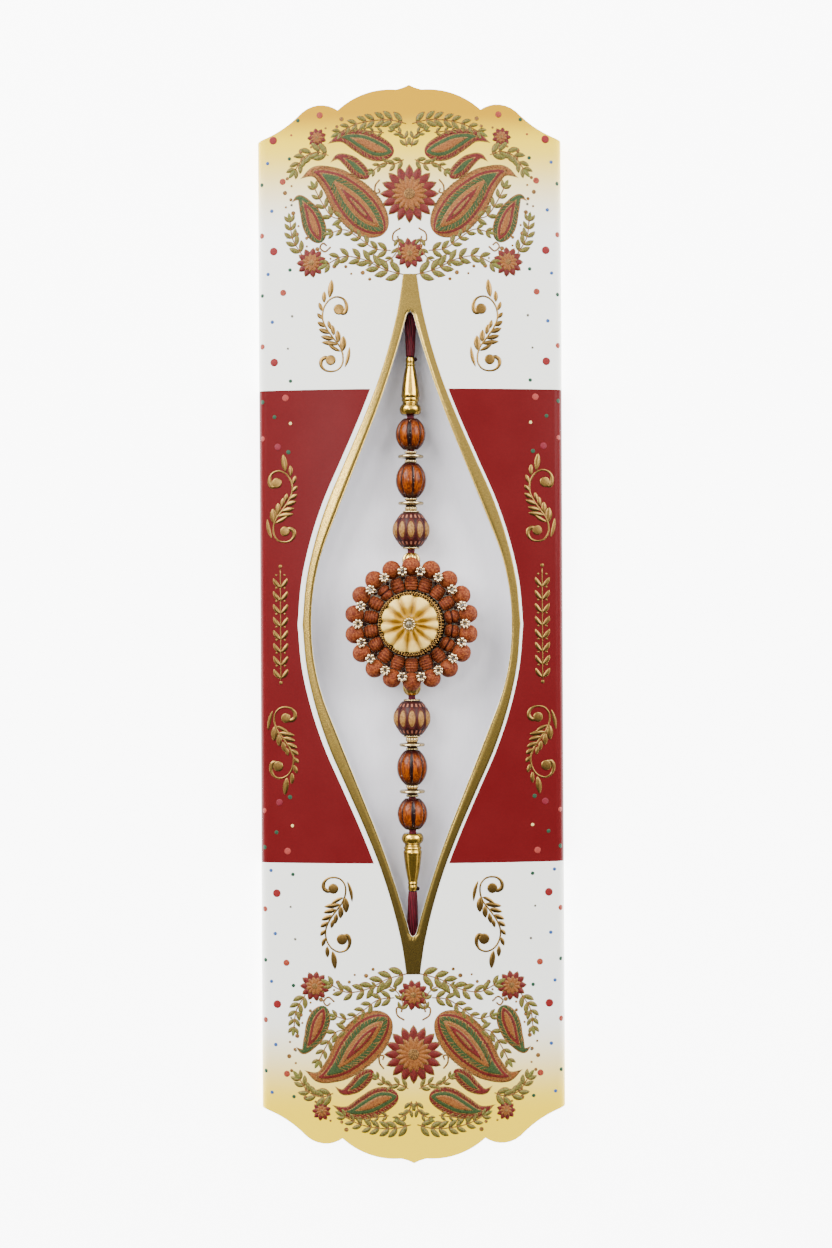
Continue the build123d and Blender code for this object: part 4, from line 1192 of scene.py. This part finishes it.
def melon_bead(length, radius, end_radius, lobes, first, depth, groove, band, segments, rows):
    """A barrel with lengthwise grooves: r = arc(h) - depth exp(-(d/groove)^2), d the distance to the
    nearest groove round the bead. The lobes are rounded too, and both fade towards the ends. The marks
    say where the grooves and the ends are; the first groove can have a dark band, given by its half
    width."""
    outside = arc((end_radius, 0.0), (radius, length / 2), (end_radius, length), rows)
    outside = np.concatenate([outside, [(end_radius, length)]])
    profile = bored(outside, length)
    angle = np.arange(segments) * 2 * math.pi / segments
    away = nearest_spoke(angle, lobes, math.radians(first)) * radius
    cut = np.exp(-(away / groove) ** 2)[None, :]
    from_band = np.abs(nearest_spoke(angle, 1, math.radians(first))) * radius
    dark = np.clip((band - from_band) / 0.12 + 0.5, 0, 1)[None, :] * (band > 0)
    swell = (1 - np.abs(away) / (math.pi * radius / lobes)) ** 2 * 0.12
    bulge = np.sin(math.pi * profile[:, 1:] / length) ** 0.6
    outer = np.arange(len(profile))[:, None] < len(outside)
    relief = np.where(outer, -(depth * cut + swell) * bulge, 0.0)
    end = np.clip(1.25 - 4.2 * np.minimum(profile[:, 1:], length - profile[:, 1:]) / length, 0, 1)
    return lathe(profile, segments, relief, loop=True,
                 groove=np.maximum(cut, dark) * np.minimum(bulge * 1.6, 1.0),
                 end=end**2 * np.ones_like(relief))


def amber_beads():
    """The two seven-lobed amber beads of each end, each turned its own way."""
    turns = {("round", "upper"): (-5, 0.6), ("oval", "upper"): (10, 0.3), ("oval", "lower"): (3, 0.42),
             ("round", "lower"): (-4, 0.5)}
    for (kind, end), (turn, band) in turns.items():
        node = f"amber_bead_{kind}_{end}"
        length, radius = size_of(node)
        shape = melon_bead(length, amber_fullness * radius, end_radius=1.6, lobes=7, first=turn, depth=0.3,
                           groove=0.26, band=band, segments=140, rows=44)
        add_piece(f"amber_{kind}_{end}", on_string(shape, node, ENDS[end]), AMBER,
                  [node])


def gold_beads():
    """Small gold beads with six deep petals."""
    for end, side in ENDS.items():
        node = f"gold_bead_{end}"
        length, radius = size_of(node)
        shape = melon_bead(length, gold_bead_fullness * radius, end_radius=1.1, lobes=6, first=0, depth=0.38,
                           groove=0.2, band=0.0, segments=96, rows=26)
        # Painted shade in the grooves between the petals.
        hollow = np.clip(shape.marks["groove"] * 0.9 - 0.25, 0, 1)
        add_piece(f"petal_bead_{end}", on_string(Shape(shape.points, shape.faces, hollow=hollow), node, side),
                  BEAD_GOLD, [node])


def brown_bead(length, radius):
    """A barrel with 11 raised upright ovals in frames and a row of marks round each end.

    Height over the barrel = rise (1 - q^4) inside q < 1, where q^2 = (across/a)^2 + (along/b)^2.
    """
    ovals, ticks = 11, 18
    rise, half_across, half_along, body_end = 0.35, 0.78, 1.9, 2.2
    body_radius = radius - rise
    rows, segments = 72, 308
    outside = arc((body_end, 0.0), (body_radius, length / 2), (body_end, length), rows)
    outside = np.concatenate([outside, [(body_end, length)]])
    profile = bored(outside, length)
    angle = np.arange(segments) * 2 * math.pi / segments
    across = nearest_spoke(angle, ovals)[None, :] * body_radius
    along = profile[:, 1:] - length / 2
    q = np.hypot(across / half_across, along / half_along)
    outer = np.arange(len(profile))[:, None] < len(outside)
    raised = rise * np.clip(1 - np.clip(q, 0, 1) ** 4, 0, 1)
    rim = 0.12 * np.exp(-((q - 1.18) / 0.1) ** 2)
    near_end = length / 2 - np.abs(along)
    tick = np.cos(ticks * angle)[None, :] > 0.25
    row = (near_end > 0.45) & (near_end < 1.1)
    notch = (tick & row & outer).astype(float)
    relief = np.where(outer, raised + rim - 0.09 * notch, 0.0)
    return lathe(profile, segments, relief, loop=True,
                 oval=np.where(outer, np.clip((1.0 - q) / 0.08, 0, 1), 0.0),
                 frame=np.where(outer, np.exp(-((q - 1.18) / 0.14) ** 2), 0.0), notch=notch)


def brown_beads():
    for end, side in ENDS.items():
        node = f"brown_bead_{end}"
        length, radius = size_of(node)
        add_piece(f"carved_bead_{end}", on_string(brown_bead(length, radius), node, side), CARVED_BROWN,
                  [node])


def bead_rim(length, radius):
    """A thin gold ring with a round, finely milled edge."""
    segments, teeth = 144, 36
    outside = np.concatenate([[(radius - 0.5, 0.0)],
                              arc((radius - 0.2, 0.0), (radius, length / 2), (radius - 0.2, length), 8),
                              [(radius - 0.2, length), (radius - 0.5, length)]])
    profile = bored(outside, length)
    angle = np.arange(segments) * 2 * math.pi / segments
    edge = (profile[:, :1] > radius - 0.25) * 1.0
    relief = -0.05 * edge * (0.5 + 0.5 * np.cos(teeth * angle))
    return lathe(profile, segments, relief, loop=True, hollow=0.0)


def wheel_spacer(length, radius, inner_hub):
    """A round-edged disc between two hub rings of small granules, with necks between; painted shade darkens
    the necks and the dips between the granules.
    """
    segments, granules = 120, 12
    hub, neck, hub_out, disc = 1.4, 1.15, 0.5, 0.7
    gap = (length - inner_hub - hub_out - disc) / 2
    disc_low = inner_hub + gap
    disc_high = disc_low + disc
    outer_low = disc_high + gap
    outside = np.concatenate([
        arc((hub - 0.15, 0.0), (hub, inner_hub / 2), (hub - 0.15, inner_hub), 7),
        [(neck, inner_hub + 0.05), (neck, disc_low - 0.05), (radius - 0.9, disc_low + 0.05)],
        arc((radius - 0.35, disc_low), (radius, (disc_low + disc_high) / 2), (radius - 0.35, disc_high), 9),
        [(radius - 0.9, disc_high - 0.05), (neck, disc_high + 0.05), (neck, outer_low - 0.05)],
        arc((hub - 0.15, outer_low), (hub, (outer_low + length) / 2), (hub - 0.15, length), 7),
        [(hub - 0.15, length)],
    ])
    profile = bored(outside, length)
    angle = np.arange(segments) * 2 * math.pi / segments
    on_hub = ((profile[:, :1] > neck + 0.02) & (profile[:, :1] <= hub + 0.01)
              & ((profile[:, 1:] <= inner_hub) | (profile[:, 1:] >= outer_low))) * 1.0
    dip = (0.5 - 0.5 * np.cos(granules * angle))[None, :] ** 2
    relief = -0.16 * on_hub * dip
    in_neck = (np.abs(profile[:, :1] - neck) < 0.02) * 1.0
    # Painted shade in the necks and between the granules.
    hollow = np.clip(in_neck + 0.8 * on_hub * dip**2, 0, 1)
    return lathe(profile, segments, relief, loop=True, hollow=hollow)


def rims_and_spacers():
    for end, side in ENDS.items():
        for place in ("inner", "outer"):
            node = f"bead_rim_{place}_{end}"
            add_piece(f"milled_rim_{place}_{end}", on_string(bead_rim(*size_of(node)), node, side),
                      PALE_GOLD, [node])
        for place, hub in (("inner", 0.95), ("outer", 0.75)):
            node = f"wheel_spacer_{place}_{end}"
            add_piece(f"wheel_{place}_{end}", on_string(wheel_spacer(*size_of(node), hub), node, side),
                      PALE_GOLD, [node])


def end_ferrule(length, radius):
    """The tapered end: collar, two small rings, a bell-shaped body and a ring at the mouth."""
    def at(along, across):
        return across * radius, along * length

    outside = np.concatenate([
        [at(0.0, 0.62)],
        arc(at(0.0, 0.78), at(0.09, 1.0), at(0.185, 0.72), 22),
        arc(at(0.19, 0.68), at(0.205, 0.73), at(0.22, 0.68), 7),
        arc(at(0.225, 0.7), at(0.25, 0.8), at(0.275, 0.79), 8),
        arc(at(0.285, 0.74), at(0.31, 0.82), at(0.36, 0.815), 8),
        arc(at(0.36, 0.815), at(0.58, 0.69), at(0.84, 0.42), 26),
        arc(at(0.85, 0.41), at(0.865, 0.46), at(0.88, 0.41), 7),
        arc(at(0.89, 0.4), at(0.95, 0.435), at(0.995, 0.39), 10),
        [at(1.0, 0.34), at(1.0, 0.24), at(0.945, 0.22), at(0.94, 0.02)],
    ])
    inside = np.array([at(0.72, 0.02), at(0.70, bore_radius / radius), at(0.0, bore_radius / radius)])
    profile = np.concatenate([outside, inside])
    step = np.gradient(profile[:, 0])
    # Painted shade where the outline narrows sharply, in the ferrule's lower part by the collar.
    hollow = np.clip(-step * 6 - 0.4, 0, 0.7) * (profile[:, 1] < 0.3 * length)
    return lathe(profile, 96, loop=True, hollow=hollow[:, None])


def ferrules():
    for end, side in ENDS.items():
        node = f"end_ferrule_{end}"
        add_piece(f"gold_ferrule_{end}", on_string(end_ferrule(*size_of(node)), node, side),
                  POLISHED_GOLD, [node])


def string_through():
    """The plied string from one ferrule to the other."""
    y = np.linspace(string_low[1], string_high[1], 340)
    line = np.stack([np.zeros_like(y), y, np.full_like(y, string_z)], axis=-1)
    shape = twisted_tube(line, string_radius, strands=4, pitch=5.0, depth=0.16, segments=32)
    add_piece("plied_string", shape, MAROON_SILK, ["stringing_thread"])


def mouth_knots():
    """A small dark lump beside each ferrule's mouth: painted shadow, standing for the shadow that the thread
    casts there.
    """
    mouth = node_box("end_ferrule_upper")[1][1]
    shapes = [ball(0.48, 9, 14, 0.1, (1.0, 2.0)).moved(1.05, side * (mouth - 0.5), string_z + 0.1)
              for side in (-1, 1)]
    add_piece("mouth_knots", joined(shapes), DARK_KNOT)


string_through()
mouth_knots()
amber_beads()
gold_beads()
brown_beads()
rims_and_spacers()
ferrules()


# Medallion

rng = np.random.default_rng(18)
spoke_angles = 90 + np.arange(spoke_count) * 360 / spoke_count
gap_angles = spoke_angles + 180 / spoke_count
# Spokes whose barrel has a deep groove: three on the right and one at the upper left
DEEP_GROOVED = (12, 13, 14, 2)


def outer_beads():
    """The ring of 18 round beads, each a little uneven and a little lighter or darker."""
    shapes = []
    for angle in spoke_angles:
        shape = ball(outer_bead_fullness * outer_bead_radius, 22, 32, 0.018, rng.uniform(0, 6, 2))
        shape = shape.turned(rotation("z", angle) @ rotation("y", 90)).moved(
            outer_ring_radius * math.cos(math.radians(angle)),
            outer_ring_radius * math.sin(math.radians(angle)), outer_bead_z)
        shapes.append(shape.marked(tone=rng.uniform(0, 0.3), groove=0.0))
    add_piece("outer_round_beads", joined(shapes), RED_BROWN, ["outer_ring_beads"])


def ribbed_barrel(ribs, deep):
    """A short barrel along Z: r = arc(h) - ribs; a deep bead has one groove round its middle. A mark asks for
    painted shade in the grooves, darkest in that middle one, and a little on the ends.
    """
    half = inner_bead_length / 2 + 0.08
    outside = arc((1.2, -half), (inner_bead_radius + 0.11, 0.0), (1.2, half), 32)
    outside = np.concatenate([[(0.3, -half)], outside, [(1.2, half), (0.3, half)]])
    h = outside[:, 1]
    wave = 0.5 - 0.5 * np.cos(2 * math.pi * ribs * (h + half) / (2 * half))
    middle = np.exp(-(h / 0.14) ** 2) if deep else np.zeros_like(h)
    side = np.abs(h) < half
    outside[:, 0] -= np.where(side, 0.13 * (1 - wave) + 0.22 * middle, 0.0)
    # Painted shade: darkest in the grooves between ribs and in the deep middle groove, a little on the ends.
    groove = np.where(side, np.clip(0.5 * (1 - wave) ** 2.5 + middle, 0, 1), 0.3)
    return lathe(outside, 32, groove=groove[:, None] * np.ones(32))


def inner_beads():
    """The ring of 18 ribbed barrels that point at the middle."""
    shapes = []
    for number, angle in enumerate(spoke_angles):
        deep = number in DEEP_GROOVED
        shape = ribbed_barrel(2 if deep else rng.integers(4, 6), deep)
        shape = shape.turned(rotation("z", angle) @ rotation("y", 90)).moved(
            inner_ring_radius * math.cos(math.radians(angle)),
            inner_ring_radius * math.sin(math.radians(angle)), inner_bead_z)
        shapes.append(shape.marked(tone=rng.uniform(0.0, 0.3)))
    add_piece("inner_ribbed_beads", joined(shapes), RED_BROWN, ["inner_ring_beads"])


def stitch_knots():
    """Small dark knots of the stitching, between the ribbed barrels."""
    knot_radius, ring_radius, lift = 0.4, 10.4, 0.5
    shapes = []
    for angle in gap_angles:
        shape = ball(knot_radius, 8, 12, 0.12, rng.uniform(0, 6, 2))
        shapes.append(shape.moved(ring_radius * math.cos(math.radians(angle)),
                                  ring_radius * math.sin(math.radians(angle)), inner_bead_z + lift))
    add_piece("stitch_knots", joined(shapes), DARK_KNOT)


def daisy(petals, open_heart):
    """A small cast daisy: round domed petals about a hole, its rim R (0.75 + 0.25 |cos(p a / 2)|^0.5)."""
    angle = np.arange(72) * 2 * math.pi / 72
    petal = np.abs(np.cos(petals / 2 * angle))[None, :] ** 0.5
    hole = 0.34 if open_heart else 0.2
    share = np.array([0.85, 0.97, 1.03, 1.0, 0.9, 0.76, 0.6, 0.46, 0.36, 0.27, 0.24])[:, None]
    height = np.array([0.0, 0.12, 0.32, 0.54, 0.72, 0.84, 0.86, 0.76, 0.6, 0.45, 0.1])[:, None]
    petal_part = np.clip((share - 0.3) / 0.35, 0, 1)
    radius = daisy_radius * (share * (1 - petal_part * 0.25 * (1 - petal)) + (hole - 0.24) * (share < 0.3))
    z = height - 0.45 * (1 - petal) * petal_part * (height > 0.3)
    points = np.stack([radius * np.cos(angle), radius * np.sin(angle), z + 0 * radius], axis=-1)
    # Painted shade between the petals and in the hole.
    hollow = np.clip((1 - petal) * petal_part * 1.7 - 0.2 + 1.1 * (share < 0.3), 0, 1)
    return skin(points, loop_rows=True, hollow=hollow)


def daisies():
    """The daisies over the gaps between the outer beads, leaning as the frame has them."""
    shapes = []
    for number, angle in enumerate(gap_angles):
        lean_side = 9.0 * math.sin(2.4 * number)
        roll = 9.0 * math.cos(3.1 * number)
        turn = rotation("z", angle + rng.uniform(-20, 20)) @ rotation("x", roll) @ rotation("y", lean_side)
        shapes.append(daisy((6, 8, 7)[number % 3], number % 3 != 1).turned(turn).moved(
            daisy_ring_radius * math.cos(math.radians(angle)),
            daisy_ring_radius * math.sin(math.radians(angle)), daisy_low_z))
    add_piece("cast_daisies", joined(shapes), BRIGHT_PALE, ["daisy_studs"])


def leaned(shape):
    """Lean an upright centre piece over the base disc, as the frame has it: top towards -X."""
    rise = base_top_z + 0.1 + bezel_base_radius * math.sin(centre_tilt)
    return shape.turned(rotation("y", -math.degrees(centre_tilt))).moved(0, 0, rise)


# Rows of granules, two on the bezel's rim and two round its wall: radius of the row, height, how many,
# and their own radius.
GRANULE_ROWS = [(6.9, 3.48, 78, 0.19), (6.55, 3.66, 72, 0.18), (7.06, 2.3, 60, 0.2), (7.16, 1.3, 60, 0.2)]


def bezel():
    """The bezel: a fluted wall darkened with painted shade, a plain outer line, and the rows of granules on
    it.
    """
    segments, flutes = 288, 48
    foot = bezel_base_radius + 0.18
    wall = np.concatenate([
        [(0.2, 0.0), (foot, 0.0), (foot, 0.35), (foot - 0.12, 0.55), (6.88, 2.9), (6.98, 3.0)],
        arc((6.98, 3.0), (bezel_rim_radius, 3.15), (6.98, 3.3), 5),
        [(6.9, 3.35), (6.62, 3.5), (bezel_inner_radius, 3.5), (bezel_inner_radius, 0.5), (0.2, 0.5)],
    ])
    angle = np.arange(segments) * 2 * math.pi / segments
    flute = ((wall[:, :1] > 6.8) & (wall[:, 1:] > 0.45) & (wall[:, 1:] < 2.95)) * 1.0
    wave = 0.5 - 0.5 * np.cos(flutes * angle)
    # Painted shade over the flutes and on the inner top of the rim.
    hollow = np.clip(flute * (0.7 + 0.3 * wave) + ((wall[:, :1] < 7.0) & (wall[:, 1:] > 3.32)) * 1.0, 0, 1)
    shapes = [lathe(wall, segments, -0.1 * flute * wave, loop=True, hollow=hollow)]
    for radius, height, count, size in GRANULE_ROWS:
        for number in range(count):
            a = 2 * math.pi * (number + rng.uniform(-0.12, 0.12)) / count
            granule = ball(size * rng.uniform(0.85, 1.12), 7, 9).moved(
                radius * math.cos(a), radius * math.sin(a), height)
            shapes.append(granule.marked(hollow=0.0))
    add_piece("beaded_bezel", leaned(joined(shapes)), ANTIQUE_GOLD, ["bezel_cup"])


# Directions of the grooves between the petals, from +X.
PETAL_GROOVES = np.radians([8.5, 39, 79, 114, 143, 175.5, 200, 231, 264, 294.6, 320, 347])


def flower():
    """The carved flower: height = dome(r) - groove(a, r), the grooves deeper towards the rim.

    Across one petal t runs from -1 to 1; its crown falls with t^2, and its round tip ends at
    R (1 - 0.035 t^4).
    """
    rows, segments = 50, 300
    angle = np.arange(segments)[None, :] * 2 * math.pi / segments
    edges = np.concatenate([PETAL_GROOVES, [PETAL_GROOVES[0] + 2 * math.pi]])
    turn = (angle - edges[0]) % (2 * math.pi) + edges[0]
    n = np.clip(np.searchsorted(edges, turn, side="right") - 1, 0, 11)
    t = 2 * (turn - edges[n]) / (edges[n + 1] - edges[n]) - 1
    share = np.linspace(1.0, 0.05, rows)[:, None]
    radius = flower_radius * share * (1 - 0.035 * t**4 * share)
    dome = 2.75 + 1.2 * np.sqrt(np.clip(1 - ((share - 0.52) / 0.52) ** 2, 0, 1))
    away = np.minimum(1 - np.abs(t), 1.0) * share * flower_radius * math.pi / 12
    depth = 0.7 * np.exp(-(away / 0.45) ** 2) + 0.3 * t**2
    reach = np.clip((share - 0.2) / 0.2, 0, 1)
    top = dome - depth * reach * (0.6 + 0.4 * share)
    top = np.maximum(top, 2.35)
    heart = np.clip((0.27 - share) / 0.05, 0, 1)
    top = top * (1 - heart) + 3.55 * heart
    upper = np.stack([radius * np.cos(angle), radius * np.sin(angle), top + 0 * angle], axis=-1)
    foot = upper[:1] * (1, 1, 0)
    points = np.concatenate([foot * (0.05, 0.05, 1), foot, upper])
    groove = 0.85 * np.exp(-(away / 0.2) ** 2) * reach * np.clip((0.94 - share) / 0.4, 0, 1)
    wash = np.clip(np.exp(-(away / 1.0) ** 2) * (1.08 - share) * 2.1
                   + np.clip((0.64 - share) / 0.3, 0, 1) * 0.75, 0, 1)
    flat = {"groove": groove + 0 * angle, "wash": wash + 0 * angle}
    marks = {key: np.concatenate([value[:1] * 0, value[:1], value]) for key, value in flat.items()}
    shape = skin(points, **marks)
    add_piece("carved_flower", leaned(shape.moved(0, 0, 0.55)), IVORY, ["ivory_flower"])


def boss_and_stone():
    """The small boss, a ring of thirteen granules round a cup, and the domed stone in it."""
    foot, granules = 4.2, 13
    cup = np.array([(0.1, 0.0), (1.2, 0.0), (1.22, 0.35), (1.0, 0.55), (0.82, 0.55), (0.8, 0.42),
                    (0.1, 0.42)])
    # Painted shade inside the cup, round the stone.
    shapes = [lathe(cup, 52, loop=True, hollow=(cup[:, :1] < 1.1) * 0.7 * np.ones(52))]
    for number in range(granules):
        a = 2 * math.pi * number / granules
        granule = ball(0.29, 9, 12).moved(1.16 * math.cos(a), 1.16 * math.sin(a), 0.45)
        shapes.append(granule.marked(hollow=0.0))
    add_piece("granule_boss", leaned(joined(shapes).moved(0, 0, foot)), PALE_GOLD,
              ["flower_boss"])
    dome = np.concatenate([[(0.05, 0.45), (0.74, 0.45)],
                           arc((0.74, 0.55), (0.5, 0.86), (0.03, 0.98), 12)])
    add_piece("domed_stone", leaned(lathe(dome, 40).moved(0, 0, foot)), GREY_STONE,
              ["centre_stone"])


def plate_points():
    """Pale points of the plate under the bezel, seen between the ribbed barrels."""
    shapes = []
    for angle in gap_angles:
        t = np.linspace(0, 1, 8)[:, None]
        half_width = 0.72 * (1 - t) + 0.05
        reach = bezel_base_radius + 0.1 + (plate_point_radius - bezel_base_radius) * t
        around = np.array([-1.0, 0.0, 1.0, 0.0])
        height = np.array([0.05, 0.45, 0.05, 0.02])
        points = np.stack([reach + 0 * around, half_width * around,
                           base_top_z + height * (1 - 0.5 * t)], axis=-1)
        shapes.append(skin(points[:, ::-1]).turned(rotation("z", angle)))
    add_piece("plate_points", joined(shapes), PALE_BASE)


outer_beads()
plate_points()
inner_beads()
stitch_knots()
daisies()
bezel()
flower()
boss_and_stone()
base_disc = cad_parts["medallion_base"]
base_disc.data.materials.clear()
base_disc.data.materials.append(PALE_BASE)


# Floor, light and camera

def studio():
    """A pale floor, a soft key and fill from both sides, a small lamp above, and a bright surround.

    Overhead the surround is dim on its -Y side, so that the gold border darkens towards that end.
    The camera itself sees it pale, as a plain backdrop.
    """
    half = 6.0
    floor = bpy.data.meshes.new("studio_floor")
    floor.from_pydata([(-half, -half, 0), (half, -half, 0), (half, half, 0), (-half, half, 0)], [],
                      [(0, 1, 2, 3)])
    floor.materials.append(floor_finish())
    floor_object = bpy.data.objects.new("studio_floor", floor)
    bpy.context.scene.collection.objects.link(floor_object)
    lights = [
        {"name": "key", "place": (-0.55, 0.5, 0.5), "size": 0.6, "watts": 16.3},
        {"name": "fill", "place": (0.6, 0.35, 0.5), "size": 0.6, "watts": 10.0},
        {"name": "top", "place": (-0.27, 0.13, 1.0), "size": 0.16, "watts": 1.7},
    ]
    for row in lights:
        lamp = bpy.data.lights.new(row["name"], "AREA")
        lamp.shape = "SQUARE"
        lamp.size = row["size"]
        lamp.energy = row["watts"]
        holder = bpy.data.objects.new(row["name"], lamp)
        holder.location = row["place"]
        x, y, z = row["place"]
        holder.rotation_euler = (math.atan2(math.hypot(x, y), z), 0.0, math.atan2(y, x) + math.pi / 2)
        bpy.context.scene.collection.objects.link(holder)
    world = bpy.data.worlds.new("studio")
    world.use_nodes = True
    graph = Graph(world.node_tree)
    background = world.node_tree.nodes["Background"]
    way = graph.add("ShaderNodeSeparateXYZ", {0: graph.add("ShaderNodeTexCoord").outputs["Generated"]})
    rise = graph.ramp(way.outputs["Z"], 0.12, 0.5, 0.1, 1.6)
    across = graph.math("MULTIPLY", way.outputs["X"], 0.07)
    overhead = graph.ramp(graph.math("SUBTRACT", way.outputs["Y"], across), -0.1, 0.02, 0.1, 1.0)
    sideways = graph.ramp(graph.math("ABSOLUTE", way.outputs["X"]), 0.72, 0.9)
    shade = graph.math("MAXIMUM", overhead, sideways)
    level = graph.math("MULTIPLY", rise, shade)
    seen = graph.add("ShaderNodeLightPath").outputs["Is Camera Ray"]
    level = graph.math("MAXIMUM", level, graph.math("MULTIPLY", seen, 9.0))
    background.inputs["Color"].default_value = srgb(255, 254, 252)
    graph.put(background.inputs["Strength"], level)
    bpy.context.scene.world = world


def photo_camera():
    """Straight down over the card, turned a hair so that the card's upper end leans to the left."""
    distance, frame_height, roll = 0.45, 0.2797, math.radians(0.28)
    sideways, beads_height = 0.0010, 0.004
    camera = bpy.data.cameras.new("photo_camera")
    camera.sensor_fit = "VERTICAL"
    camera.sensor_height = 24.0
    camera.lens = camera.sensor_height * distance / frame_height
    holder = bpy.data.objects.new("photo_camera", camera)
    holder.location = (sideways, 0.0, beads_height + distance)
    holder.rotation_euler = (0.0, 0.0, -roll)
    bpy.context.scene.collection.objects.link(holder)
    bpy.context.scene.camera = holder


studio()
photo_camera()
